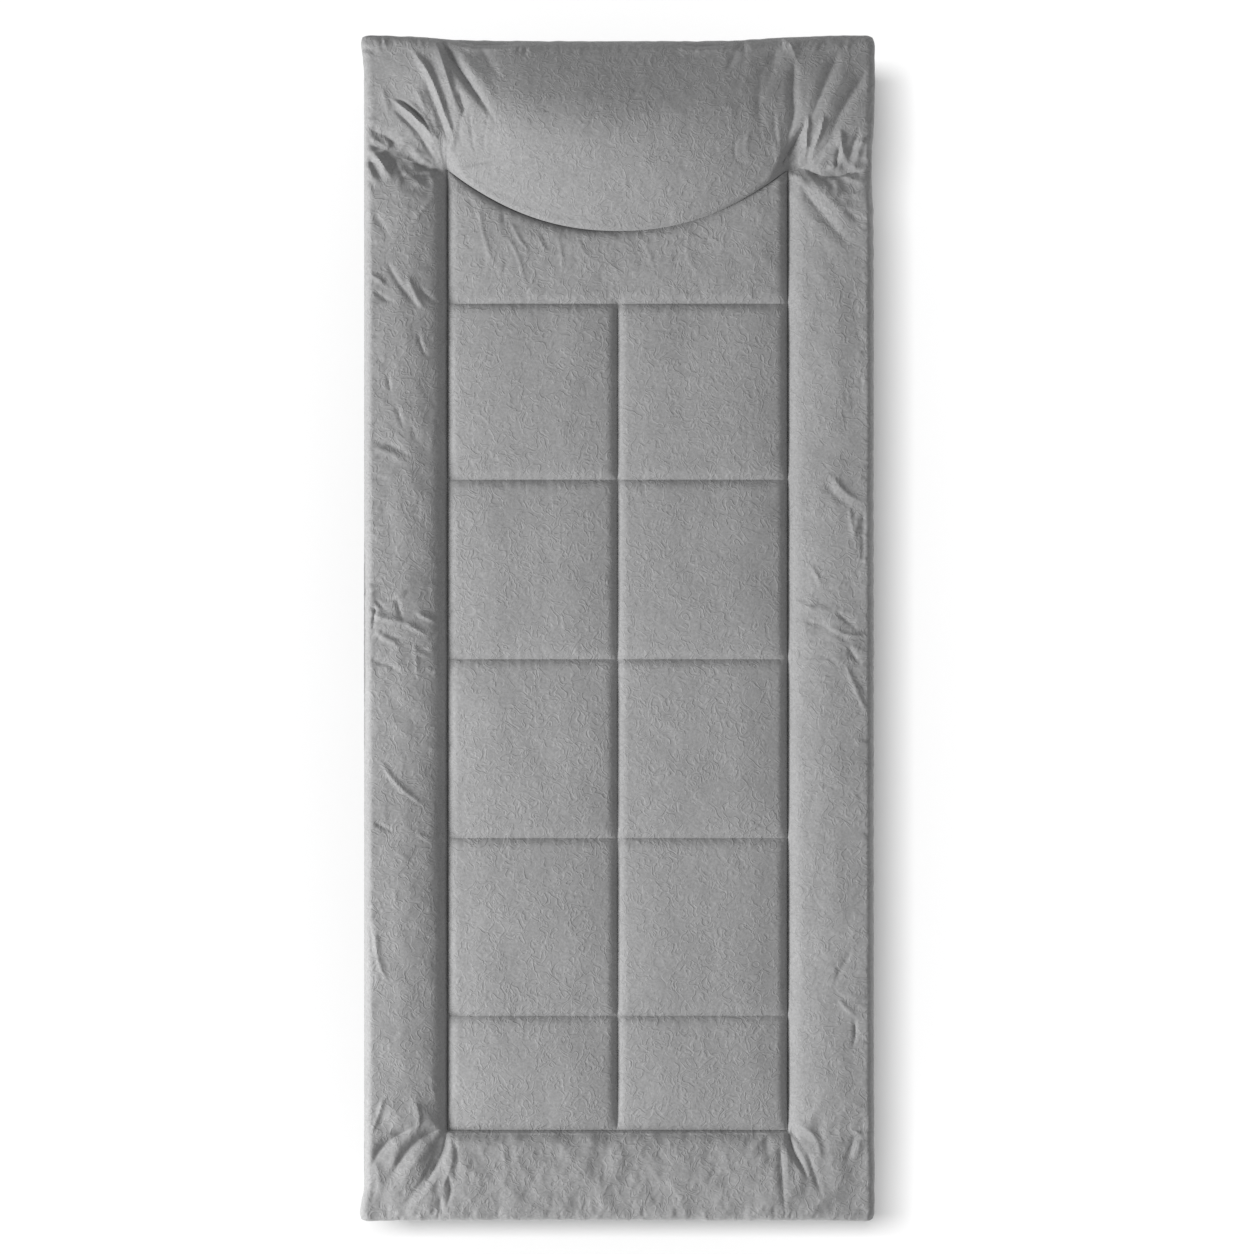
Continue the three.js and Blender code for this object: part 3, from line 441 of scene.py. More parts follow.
BOLSTER_FOLDS = (
    (-3.6, 5, 0.0, ((-374, 594), (-350, 552), (-312, 504))),
    (3.6, 4, 0.2, ((-340, 570), (-318, 524), (-298, 506))),
    (-3.6, 4, 0.0, ((-322, 552), (-304, 532), (-282, 520))),
    (-3.6, 4, 0.0, ((-396, 545), (-376, 530), (-354, 521))),
    (3.6, 4, 0.0, ((-403, 570), (-384, 560), (-364, 543))),
    (-2.8, 7, 0.0, ((-398, 675), (-380, 648), (-360, 620))),
    (2.2, 3.5, 0.0, ((-334, 646), (-306, 680), (-280, 706))),
    (-2.5, 3, 0.0, ((-322, 478), (-311, 444), (-295, 430))),
    (-2.8, 3, 0.0, ((-371, 412), (-367, 390), (-363, 372))),
    (-2.5, 4, 0.0, ((-358, 364), (-349, 338), (-341, 314))),
    (-2.5, 5, 0.0, ((-400, 302), (-360, 292), (-320, 268))),
    (2.5, 5, 0.0, ((-398, 290), (-362, 280), (-326, 256))),
    (-3.4, 3, 0.0, ((-392, 50), (-382, 38), (-368, 26))),
    (-4.5, 3, 0.0, ((-407, 34), (-391, 31), (-393, 14), (-395, 0), (-407, -8))),
    (5.0, 4.5, 0.4, ((-398, 22), (-372, 15), (-350, 11), (-332, 3))),
    (4.0, 4, 0.3, ((-344, 10), (-322, -2), (-298, -13))),
    (3.4, 4, 0.3, ((-390, -8), (-364, -20), (-346, -32))),
    (-3.4, 4, 0.0, ((-357, 55), (-351, 32), (-343, 7))),
    (4.5, 4, 0.4, ((-326, 26), (-306, 17), (-282, 6))),
    (-2.5, 4, 0.0, ((-386, -2), (-360, -14), (-334, -18))),
    (2.8, 3, 0.0, ((-324, -38), (-312, -42), (-298, -46))),
    (-2.2, 4, 0.0, ((-392, -52), (-366, -60), (-340, -76))),
    (2.0, 4, 0.0, ((-326, -20), (-322, -60), (-318, -88))),
    (3.6, 3.2, 0.2, ((-386, -208), (-350, -254), (-296, -295))),
    (-3.6, 3.2, 0.0, ((-397, -309), (-376, -319), (-353, -330))),
    (2.5, 3, 0.0, ((-324, -327), (-310, -335), (-292, -339))),
    (3.4, 4, 0.3, ((-392, -478), (-383, -540), (-358, -582))),
    (-2.2, 5, 0.0, ((-404, -455), (-396, -500), (-399, -540))),
    (3.6, 3.2, 0.2, ((-376, -750), (-384, -779), (-400, -817))),
    (3.1, 4, -0.3, ((-324, -755), (-318, -788), (-324, -815))),
    (3.4, 4, -0.2, ((338, 250), (366, 216), (400, 197))),
    (-2.5, 6, 0.0, ((330, 236), (356, 206), (384, 190))),
    (2.5, 3, 0.0, ((368, 198), (373, 168), (378, 135))),
    (2.2, 3, 0.0, ((382, 182), (379, 160), (377, 138))),
    (-2.2, 3, 0.0, ((391, 196), (389, 150), (391, 90))),
    (2.8, 3, 0.0, ((309, 104), (318, 88), (328, 70))),
    (3.1, 3, 0.0, ((283, 46), (291, 42), (300, 39))),
    (3.6, 5, 0.4, ((280, 34), (316, 33), (350, 25))),
    (-3.2, 3, 0.0, ((346, 32), (364, 14), (386, -8))),
    (3.8, 3.2, 0.3, ((336, 4), (366, -10), (410, -11))),
    (-2.8, 5, 0.0, ((300, 8), (326, 6), (346, -8))),
    (-3.6, 4, 0.0, ((366, -26), (376, -44), (392, -64))),
    (3.6, 4, 0.2, ((362, -55), (386, -114), (403, -147))),
    (-2.2, 5, 0.0, ((318, -40), (344, -52), (360, -74))),
    (-3.1, 3, 0.0, ((375, -621), (378, -647), (372, -684))),
    (-2.2, 5, 0.0, ((374, -512), (351, -560), (347, -592))),
    (3.1, 3, 0.0, ((351, -592), (366, -610), (384, -627))),
    (-2.8, 4, 0.0, ((379, -806), (370, -838), (360, -868))),
    (2.8, 5, 0.0, ((388, -812), (380, -838), (370, -862))),
)
FOOT_FOLDS = (
    (-9.5, 9, 0.0, ((-278, -800), (-319, -821), (-344, -846), (-368, -885))),
    (-8.0, 8, 0.0, ((-326, -800), (-365, -821), (-386, -842), (-398, -872))),
    (3.5, 9, -0.3, ((-306, -838), (-334, -868), (-362, -915))),
    (-7.0, 9, 0.0, ((-279, -806), (-294, -843), (-308, -875), (-328, -903), (-360, -936))),
    (-10.0, 7, 0.0, ((-273, -800), (-280, -838), (-295, -868), (-316, -900), (-334, -928))),
    (3.0, 8, 0.0, ((-262, -820), (-264, -850), (-276, -885), (-296, -920))),
    (-3.5, 5, 0.0, ((-272, -872), (-268, -900), (-276, -925))),
    (3.5, 9, 0.4, ((-296, -880), (-318, -905), (-340, -935))),
    (-4.0, 8, 0.0, ((-264, -815), (-258, -850), (-262, -890))),
    (-3.0, 5, 0.0, ((-286, -905), (-283, -925), (-279, -942))),
    (2.5, 6, 0.0, ((-392, -850), (-384, -880), (-388, -912))),
    (-10.0, 6.0, 0.0, ((271, -798), (282, -836), (297, -864), (314, -894))),
    (-6.0, 3.5, 0.0, ((276, -804), (288, -819), (300, -829))),
    (4.5, 5, 0.3, ((280, -792), (311, -809), (323, -832), (328, -868))),
    (-4.0, 6, 0.0, ((302, -832), (316, -875), (334, -922))),
    (-4.0, 6, 0.0, ((261, -822), (264, -880), (271, -946))),
    (-2.0, 8, 0.0, ((240, -812), (240, -836), (246, -862))),
    (-2.2, 6, 0.0, ((282, -790), (306, -776), (326, -764))),
)

# Small folds strewn over parts of the cover: seed, number, range along X, range along Y, the way
# they lie and how far they stray from it in degrees, and ranges of length, height and half width.
# The first table is for the side of +X, and the side of -X has its mirror image, with its own seeds.
SIDE_STREWN = (
    (31, 26, (290, 404), (-64, 70), -14, 22, (16, 46), (0.8, 1.8), (2.6, 4.5)),
    (33, 70, (290, 404), (-790, 690), -20, 50, (14, 44), (0.5, 1.2), (2.4, 4.2)),
    (35, 90, (380, 407), (-900, 900), -16, 20, (12, 34), (0.7, 1.6), (2.2, 3.6)),
    (37, 60, (276, 298), (-800, 720), 12, 20, (12, 30), (0.4, 1.0), (2.2, 3.4)),
)
STREWN = (
    (41, 60, (-380, 380), (-943, -925), 84, 14, (12, 36), (0.8, 1.8), (2.4, 4.0)),
    (42, 40, (-260, 260), (-925, -812), 70, 30, (14, 40), (0.5, 1.2), (2.4, 4.4)),
    (43, 56, (-380, 380), (925, 944), 86, 16, (12, 40), (0.7, 1.7), (2.4, 4.0)),
    (44, 90, (-250, 250), (670, 930), 60, 50, (14, 44), (0.4, 1.0), (2.4, 4.0)),
    (45, 60, (-250, 250), (525, 640), 75, 35, (14, 40), (0.4, 0.9), (2.4, 4.0)),
)

# Fans of folds round the points where the cover is drawn in: seed, number, centre, first and last
# direction in degrees, distance of their start, and ranges of length, height and half width
FANS = (
    (11, 9, PINCH_LEFT, 62, 128, 10, (50, 110), (1.0, 2.6), (4, 8)),
    (12, 7, PINCH_LEFT, 135, 215, 8, (35, 80), (1.2, 3.0), (4, 7)),
    (13, 9, PINCH_RIGHT, 40, 120, 10, (50, 120), (1.0, 2.6), (4, 8)),
    (14, 8, (300, 740), -40, 60, 10, (30, 75), (1.2, 3.0), (4, 7)),
    (15, 7, (-277, -807), 195, 285, 8, (35, 90), (0.8, 2.0), (4, 8)),
    (16, 7, (272, -807), -105, -15, 8, (35, 90), (0.8, 2.0), (4, 8)),
)


def strewn_folds(seed, count, xs, ys, angle, stray, length, height, width):
    """Small folds strewn over a part of the cover, most of them turned about one way"""
    rng = np.random.default_rng(seed)
    folds = []
    for _ in range(count):
        x = rng.uniform(*xs)
        y = rng.uniform(*ys)
        turn = math.radians(angle + rng.normal(0, stray))
        reach = rng.uniform(*length) / 2
        bow = rng.normal(0, 0.22) * reach
        dx = math.cos(turn)
        dy = math.sin(turn)
        points = (
            (x - dx * reach, y - dy * reach),
            (x - dy * bow, y + dx * bow),
            (x + dx * reach, y + dy * reach),
        )
        rise = rng.uniform(*height) * (1 if rng.random() < 0.55 else -1)
        folds.append((rise, rng.uniform(*width), rng.uniform(-0.35, 0.35), points))
    return folds


def fan_folds(seed, count, centre, start, stop, inner, length, height, width):
    """Folds that radiate from a point where the cover is drawn in"""
    rng = np.random.default_rng(seed)
    folds = []
    for i in range(count):
        turn = math.radians(start + (stop - start) * (i + rng.uniform(0.1, 0.9)) / count)
        bend = rng.normal(0, 0.09)
        reach = rng.uniform(*length)
        points = []
        for share in (0.0, 0.33, 0.66, 1.0):
            here = turn + bend * share
            out = inner + reach * share
            points.append((centre[0] + out * math.cos(here), centre[1] + out * math.sin(here)))
        rise = rng.uniform(*height) * (1 if i % 2 else -1)
        folds.append((rise, rng.uniform(*width), 0.0, tuple(points)))
    return folds


def cover_folds():
    """Every fold of the cover, the large ones first"""
    folds = list(PILLOW_LEFT_FOLDS + PILLOW_RIGHT_FOLDS + HEAD_EDGE_FOLDS)
    folds += list(QUILT_FOLDS + BOLSTER_FOLDS + FOOT_FOLDS)
    for fan in FANS:
        folds += fan_folds(*fan)
    for side in (-1, 1):
        for seed, count, xs, ys, angle, *rest in SIDE_STREWN:
            xs = sorted(side * x for x in xs)
            folds += strewn_folds(seed + side, count, xs, ys, side * angle, *rest)
    for part in STREWN:
        folds += strewn_folds(*part)
    return folds


def smooth_line(points, per_span=6):
    """The points joined by a smooth curve"""
    p = np.array(points, float)
    p = np.vstack([2 * p[0] - p[1], p, 2 * p[-1] - p[-2]])
    out = []
    for i in range(1, len(p) - 2):
        a, b, c, d = p[i - 1:i + 3]
        for t in np.arange(per_span) / per_span:
            out.append(0.5 * (2 * b + (c - a) * t + (2 * a - 5 * b + 4 * c - d) * t * t
                              + (3 * b - a - 3 * c + d) * t ** 3))
    out.append(p[-2])
    return np.array(out)


def add_fold(x, y, z, fold, strength):
    """Raises or lowers the heights z along one fold, which tapers off at both ends. It is
    steeper to the right of its line if its lean is positive, to the left if it's negative."""
    height, width, lean, points = fold
    line = smooth_line(points)
    # Points of the cover farther from the fold than this are left alone
    reach = 3.2 * width * (1 + abs(lean))
    low = line.min(0) - reach
    high = line.max(0) + reach
    near = (x > low[0]) & (x < high[0]) & (y > low[1]) & (y < high[1])
    if not near.any():
        return
    px = x[near]
    py = y[near]
    best = np.full(px.shape, np.inf)
    side = np.zeros(px.shape)
    along = np.zeros(px.shape)
    spans = np.linalg.norm(np.diff(line, axis=0), axis=1)
    run = np.concatenate([[0], np.cumsum(spans)])
    for i, span in enumerate(spans):
        if span < 1e-6:
            continue
        tx, ty = (line[i + 1] - line[i]) / span
        rx = px - line[i][0]
        ry = py - line[i][1]
        t = np.clip(rx * tx + ry * ty, 0, span)
        distance = np.hypot(rx - t * tx, ry - t * ty)
        closer = distance < best
        best = np.where(closer, distance, best)
        side = np.where(closer, tx * ry - ty * rx, side)
        along = np.where(closer, (run[i] + t) / run[-1], along)
    start_taper = 0.25
    end_taper = 0.5
    taper = eased(along / start_taper) * eased((1 - along) / end_taper)
    wide = 2.1 * width * (1 + lean * np.sign(side)) * (0.45 + 0.55 * taper)
    steepness = 2 if height < 0 else np.where(lean * side < 0, 1.25, 1.7)
    z[near] += strength * height * (1 - clamped(best / wide)) ** steepness * taper


# Heights of the cover above the rails' axis

def pillow_front(x):
    """Where the pillow's front is sewn down, across the quilt and along both pinched sides"""
    share = clamped(np.abs(x) / SEAM_X)
    curve = PILLOW_Y - PILLOW_DROP * (1 - share ** PILLOW_POWER)
    left = smooth_line(LEFT_PINCH)[::-1]
    right = smooth_line(RIGHT_PINCH)
    at_left = np.interp(x, left[:, 0], left[:, 1])
    at_right = np.interp(x, right[:, 0], right[:, 1])
    return np.where(np.abs(x) < SEAM_X, curve, np.where(x < 0, at_left, at_right))


def corner_taper(x, from_end):
    """The share of its height that the padding keeps beside a corner of the frame"""
    corner = np.hypot(RAIL_X - np.abs(x), from_end)
    return 1 - 0.32 * np.exp(-(corner / 62.0) ** 2)


def distance_past(x, y):
    """How far a point lies outside the seams along the sides and at the foot"""
    return np.hypot(np.maximum(np.abs(x) - SEAM_X, 0), np.maximum(FOOT_SEAM_Y - y, 0))


def quilt_distances(x, y):
    """Distances to the side seams, middle seam, seams across, pillow and foot bolster"""
    side = SEAM_X - np.abs(x)
    middle = np.where(y < QUILT_SEAMS[0], np.abs(x), np.hypot(x, y - QUILT_SEAMS[0]))
    across = np.min([np.abs(y - seam) for seam in QUILT_SEAMS], axis=0)
    return [np.maximum(d, 0) for d in (side, middle, across, pillow_front(x) - y, y - FOOT_SEAM_Y)]


def quilt_height(x, y):
    """Cells that rise steeply from their seams, and then gently to the crown"""
    s = sizes()
    seam = s.seam_height / MM
    side, middle, across, head, foot = quilt_distances(x, y)
    steep_run = 19.0
    gentle_run = 85.0

    def rise(distance, least=0.0):
        """From least at a seam to 1 at the crown"""
        steep = 1 - (1 - clamped(distance / steep_run)) ** 2.5
        return least + (1 - least) * (0.62 * steep + 0.38 * arched(distance / gentle_run))

    share = rise(side) * rise(middle, 0.2) * rise(across, 0.38) * rise(head, 0.6) * rise(foot)
    # Towards -X the pillow lies closer on the blank row and presses it down
    share *= 1 - 0.45 * eased((60.0 - x) / 160.0) * np.exp(-head / 3.2)
    return seam + (s.quilt_height / MM - seam) * share


def border_height(x, y):
    """The bolsters: from a welted inner seam over a wide crown to a tight outer edge"""
    s = sizes()
    seam = s.seam_height / MM
    edge = s.edge_height / MM
    crown = s.bolster_height / MM
    steep_run = 30.0
    gentle_run = 85.0
    edge_run = 13.0
    pinch_run = 58.0
    welt_place = 4.2
    welt_width = 1.5
    from_side = COVER_X - np.abs(x)
    from_foot = y + COVER_Y
    from_seam = distance_past(x, y)
    from_pillow = pillow_front(x) - y
    inner = 0.45 * (1 - (1 - clamped(from_seam / steep_run)) ** 3)
    inner += 0.55 * arched(from_seam / gentle_run)
    outer = rounded(from_side / edge_run) * rounded(from_foot / edge_run)
    nearest = np.minimum(from_side, from_foot)
    base = seam + (edge - seam) * clamped(from_seam / np.maximum(from_seam + nearest, 1e-6))
    pinch = 0.6 + 0.4 * arched(from_pillow / pinch_run)
    welt = 1.5 * np.exp(-((from_seam - welt_place) / welt_width) ** 2) * eased(from_pillow / 30.0)
    return base + (crown - base) * inner * outer * corner_taper(x, END_Y + y) * pinch + welt


def pillow_height(x, y):
    """The pillow: a rolled edge round a dome that falls away more gently towards +X"""
    s = sizes()
    edge = s.edge_height / MM
    wide = np.abs(x) - SEAM_X
    front = y - pillow_front(x)
    back = COVER_Y - y
    side = COVER_X - np.abs(x)
    from_left = COVER_X + x
    from_right = COVER_X - x
    rim = np.where(wide > 0, border_height(x, pillow_front(x)), s.seam_height / MM)
    roll = rounded(back / 18.0) * rounded(side / 15.0)
    dome = arched(front / 205.0) * arched(back / 170.0)
    near = clamped(from_left / 265.0)
    dome *= 0.4 * near * (2 - near) + 0.6 * eased(near)
    dome *= 0.38 + 0.62 * arched(from_right / 480.0)
    top = edge + (s.pillow_roll / MM - edge) * roll * corner_taper(x, END_Y - y)
    top += s.pillow_dome / MM * dome
    # The front rises steeply over the quilt, and more gently where it's pinched at both sides
    run = 13.0 + 47.0 * eased((wide + 34.0) / 48.0)
    sewn = rounded(front / run)
    share = sewn + (arched(front / run) - sewn) * eased((wide + 20.0) / 30.0)
    return rim + (top - rim) * share


def puckered(distance, along, seed, pitch, reach):
    """Small ridges that run away from a seam and fade, nothing at the seam itself"""
    waves = noise(along / pitch, distance / (2.2 * reach), seed)
    waves += 0.6 * noise(along / (0.5 * pitch), distance / reach, seed + 1)
    return waves * np.exp(-distance / reach) * (1 - np.exp(-distance / 2.2))


def edge_ripples(x, y):
    """Ripples along the cover's outer edges, where it is drawn round the frame"""
    from_side = COVER_X - np.abs(x)
    from_foot = y + COVER_Y
    from_back = COVER_Y - y
    ripples = 0.9 * noise(y / 11.0, x / 60.0, 107) * np.exp(-from_side / 16.0)
    ripples += 1.0 * noise(x / 12.0, y / 60.0, 109) * np.exp(-from_foot / 16.0)
    return ripples + 1.0 * noise(x / 13.0, y / 60.0, 113) * np.exp(-from_back / 18.0)


def quilt_relief(x, y):
    """Puckers of the quilt, the distance to its nearest seam, and how rough its cloth is"""
    side, middle, across, head, foot = quilt_distances(x, y)
    lengthwise = np.minimum(side, middle)
    crossing = np.minimum(np.minimum(across, head), foot)
    z = 1.0 * puckered(crossing, x, 101, pitch=9.0, reach=11.0)
    z += 0.8 * puckered(lengthwise, y, 103, pitch=10.0, reach=11.0)
    return z, np.minimum(lengthwise, crossing), 0.5 + 0.5 * eased((y - QUILT_SEAMS[0]) / 20.0)


def border_relief(x, y):
    """The same for the bolsters, rougher at the foot and with broad swells along the sides"""
    seam = distance_past(x, y)
    along = np.where(np.abs(x) > SEAM_X, y, x)
    z = 0.9 * puckered(seam, along, 105, pitch=12.0, reach=14.0) + edge_ripples(x, y)
    z += 1.8 * eased((-700.0 - y) / 80.0) * noise(x / 36.0, y / 36.0, 131)
    z += 0.9 * eased((680.0 - y) / 80.0) * eased(seam / 20.0) * noise(x / 26.0, y / 38.0, 151)
    return z, seam, 0.6 + 1.9 * eased((-740.0 - y) / 60.0)


def pillow_relief(x, y):
    """The same for the pillow, whose sides carry on the puckers of the side bolsters"""
    inner = distance_past(x, y)
    front = np.maximum(y - pillow_front(x), 0)
    out = eased((np.abs(x) - SEAM_X) / 12.0)
    z = 0.6 * puckered(front, x, 111, pitch=12.0, reach=16.0) * (1 - out) + edge_ripples(x, y)
    carried = puckered(np.maximum(inner, 0.01), y, 105, pitch=12.0, reach=14.0)
    z += 0.9 * carried * out * np.exp(-front / 14.0)
    return z, np.where(np.abs(x) > SEAM_X, np.maximum(inner, front), front), 0.6


# Each kind of piece: its smooth form and its small relief
FORMS = {
    "quilt": (quilt_height, quilt_relief),
    "border": (border_height, border_relief),
    "pillow": (pillow_height, pillow_relief),
}


def cover_top(x, y, kind, folds):
    """Height of the cover's top: its smooth form, puckers, wrinkles and folds"""
    s = sizes()
    smooth_form, small_relief = FORMS[kind]
    z, seam, rough = small_relief(x, y)
    # Creases where the cover is drawn in beside the pillow
    drawn_in = eased((np.abs(x) - 240.0) / 40.0) * np.exp(-((y - pillow_front(x)) / 42.0) ** 2)
    creases = 4.2 * (creased(x / 27.0, y / 24.0, 141) - 0.5) + 1.6 * noise(x / 13.0, y / 12.0, 142)
    z += drawn_in * creases
    # Soft waves and fine creases all over, less at the seams
    off_seam = eased(seam / 10.0)
    waves = 0.8 * noise(x / 74.0, y / 74.0, 121) + 0.3 * noise(x / 31.0, y / 31.0, 122)
    warp = 11.0 * noise(x / 46.0, y / 46.0, 126)
    broad = creased((x + warp) / 44.0, (y - warp) / 52.0, 123) - 0.5
    fine = creased((x - warp) / 21.0, (y + warp) / 25.0, 128) - 0.5
    z += off_seam * (waves + rough * (0.9 * broad + 0.4 * fine))
    z *= s.pucker_strength
    fold_heights = np.zeros_like(z)
    for fold in folds:
        add_fold(x, y, fold_heights, fold, s.fold_strength)
    return smooth_form(x, y) + z + fold_heights * (0.25 + 0.75 * off_seam)


# Meshes made of many small surfaces, joined where their points meet

def deselect():
    """Leaves nothing selected, so that the next operator meets only what it adds"""
    bpy.ops.object.select_all(action="DESELECT")


def only(piece):
    """Selects one object and nothing else"""
    deselect()
    piece.select_set(True)
    bpy.context.view_layer.objects.active = piece


def open_for_editing():
    """Goes into edit mode with everything selected"""
    bpy.ops.object.mode_set(mode="EDIT")
    bpy.ops.mesh.select_all(action="SELECT")


def close_editing():
    """Turns every face outwards and leaves edit mode"""
    bpy.ops.mesh.select_all(action="SELECT")
    bpy.ops.mesh.normals_make_consistent(inside=False)
    bpy.ops.object.mode_set(mode="OBJECT")


def smooth_shading(piece, angle=48.0):
    """Smooth surfaces with crisp edges where they meet at more than the angle"""
    only(piece)
    bpy.ops.object.shade_smooth_by_angle(angle=math.radians(angle))


class Shell:
    """Collects faces by their points, and joins points at the same place when it's built"""

    def __init__(self):
        self.points = []
        self.faces = []
        self.count = 0

    def _add(self, points):
        """Keeps some points; returns the number of the first"""
        points = np.asarray(points, float).reshape(-1, 3)
        first = self.count
        self.points.append(points)
        self.count += len(points)
        return first

    def grid(self, points, flip=False):
        """A surface through rows and columns of points, its front to the side that the rows'
        direction crossed with the columns' direction points away from, or the other if flipped"""
        rows, columns = points.shape[:2]
        index = self._add(points) + np.arange(rows * columns).reshape(rows, columns)
        quads = np.stack([index[:-1, :-1], index[:-1, 1:], index[1:, 1:], index[1:, :-1]], axis=-1)
        quads = quads.reshape(-1, 4)
        self.faces += (quads[:, ::-1] if flip else quads).tolist()

    def face(self, points):
        """One face with many corners"""
        first = self._add(points)
        self.faces.append(list(range(first, first + len(points))))

    def build(self, name):
        """The mesh as an object, in metres, with its faces turned outwards"""
        points = np.round(np.concatenate(self.points), 3)
        unique, index = np.unique(points, axis=0, return_inverse=True)
        index = index.reshape(-1)
        faces = []
        for face in self.faces:
            corners = []
            for i in index[face]:
                if not corners or corners[-1] != i:
                    corners.append(int(i))
            if len(corners) > 1 and corners[0] == corners[-1]:
                corners.pop()
            if len(corners) > 2 and len(set(corners)) == len(corners):
                faces.append(corners)
        mesh = bpy.data.meshes.new(name)
        unique[:, 2] += RAIL_Z
        mesh.from_pydata((unique * MM).tolist(), [], faces)
        mesh.validate()
        mesh.update()
        piece = bpy.data.objects.new(name, mesh)
        bpy.context.scene.collection.objects.link(piece)
        only(piece)
        open_for_editing()
        close_editing()
        return piece


def edge_places(table, along):
    """How far the cover stands off along one edge"""
    line = smooth_line(table)
    return np.interp(along, line[:, 0], line[:, 1])


def rounded_outline(x, y):
    """Rounds the top's outer corners and lets the cover stand off the frame where it does"""
    off_side = np.where(x < 0, edge_places(LEFT_EDGE, y), edge_places(RIGHT_EDGE, y))
    off_end = np.where(y < 0, edge_places(FOOT_EDGE, x), edge_places(HEAD_EDGE, x))
    off_side = off_side + 0.7 * noise(y / 17.0, 0 * y, 151) + 0.6 * noise(y / 47.0, 0 * y, 152)
    off_end = off_end + 0.7 * noise(x / 17.0, 0 * x, 153) + 0.6 * noise(x / 47.0, 0 * x, 154)
    off_side = off_side * eased(1 - (COVER_X - np.abs(x)) / OUTLINE_RUN)
    off_end = off_end * eased(1 - (COVER_Y - np.abs(y)) / OUTLINE_RUN)
    dx = np.abs(x) - RAIL_X
    dy = np.abs(y) - END_Y
    in_corner = (dx > 0) & (dy > 0)
    square = np.where(in_corner, np.maximum(dx, dy), 1.0)
    share = 0.25 + 0.75 * square / np.maximum(np.hypot(dx, dy), 1e-9)
    new_x = np.where(in_corner, RAIL_X + dx * share, np.abs(x)) + off_side
    new_y = np.where(in_corner, END_Y + dy * share, np.abs(y)) + off_end
    return np.sign(x) * new_x, np.sign(y) * new_y


def rows_to_axis(edge):
    """The rail's axis beside each point of the outline, and the way out from it in plan"""
    axis = np.column_stack([
        np.clip(edge[:, 0], -RAIL_X, RAIL_X), np.clip(edge[:, 1], -END_Y, END_Y)])
    outward = edge[:, :2] - axis
    outward /= np.linalg.norm(outward, axis=1)[:, None]
    return axis, outward


def full_skirt():
    """Length of cloth from the top's edge to a hem that is turned in under the rail"""
    return SKIRT_FALL + COVER_RADIUS * HEM_ANGLE


def skirt_length(y, at_side):
    """How far the skirt runs down from the top's edge before its hem, along the cloth"""
    length = np.full_like(y, full_skirt())
    half = HEM_CHANGE / 2
    for (low, high), left in SKIRT_CUTS:
        inside = eased((y - low + half) / HEM_CHANGE) * eased((high + half - y) / HEM_CHANGE)
        length = length + (left - length) * inside * at_side
    return length


def skirt(shell, edge, inner, seed):
    """The cover round a rail: from the top's edge down, round under and back inside.

    edge holds the top's outer points in order, and inner the points of the seam beside them that
    the pad's bottom runs to. Returns the rows of points from the edge to the bottom."""
    axis, outward = rows_to_axis(edge)
    at_side = np.abs(axis[:, 0]) > RAIL_X - 1e-3
    from_corner = np.hypot(np.abs(axis[:, 0]) - RAIL_X, np.abs(axis[:, 1]) - END_Y)
    bulge = (KNOB_RADIUS - COVER_RADIUS) * np.exp(-(from_corner / KNOB_REACH) ** 2)
    stand = np.linalg.norm(edge[:, :2] - axis, axis=1) - COVER_RADIUS
    spans = np.linalg.norm(np.diff(edge[:, :2], axis=0), axis=1)
    along = np.concatenate([[0], np.cumsum(spans)])
    length = skirt_length(edge[:, 1], at_side)
    hemmed = length > 0.9 * full_skirt()
    least_radius = COVER_RADIUS - 1.7
    rows = [edge]

    def add_row(out, height):
        rows.append(np.column_stack([axis + outward * out[:, None], height]))

    for share in SKIRT_ROWS:
        reach = length * share
        down = clamped(reach / SKIRT_FALL)
        angle = np.maximum(reach - SKIRT_FALL, 0) / COVER_RADIUS
        wrinkle = 0.55 * noise(along / 10.0 + 0.5 * share, np.full_like(along, 3 * share), seed)
        wrinkle += 0.35 * noise(along / 4.6, np.full_like(along, 5 * share), seed + 1)
        wrinkle *= np.sin(math.pi * clamped(share + 0.08))
        hem = np.where(hemmed, HEM_THICKNESS * (share > HEM_START), 0.0)
        outer = np.maximum(stand, 0.35 * bulge * arched(down)) * np.maximum(np.cos(angle), 0)
        radius = np.maximum(COVER_RADIUS + outer + wrinkle + hem, least_radius)
        add_row(radius * np.cos(angle), edge[:, 2] * (1 - down) - radius * np.sin(angle))
    # The cloth turns in at the hem and lies close to the rail from there to its lowest line
    under_rail = (length - SKIRT_FALL) / COVER_RADIUS
    beside_rail = (length - SKIRT_FALL) / SKIRT_FALL * math.pi / 2
    start = np.where(length > SKIRT_FALL, under_rail, beside_rail)
    for share in (0.0, 0.2, 0.4, 0.6, 0.8, 1.0):
        angle = start + (-math.pi / 2 - start) * share
        add_row(CLEAR_RADIUS * np.cos(angle), -CLEAR_RADIUS * np.sin(angle))
    rows = np.stack(rows)
    shell.grid(rows)
    shell.grid(np.stack([rows[-1], np.column_stack([inner, np.full(len(inner), PAD_BOTTOM)])]))
    return rows


def wall(shell, line, flip=False):
    """A straight side from a seam down to the pad's bottom"""
    low = line.copy()
    low[:, 2] = PAD_BOTTOM
    shell.grid(np.stack([line, low]), flip)


def cap(shell, top_row, rings, flip):
    """Closes a piece across the bed. top_row runs from the outer edge to the inner seam."""
    bottom = np.array([top_row[-1][0], top_row[-1][1], PAD_BOTTOM])
    path = np.vstack([top_row, bottom, rings[:0:-1]])
    shell.face(path[::-1] if flip else path)


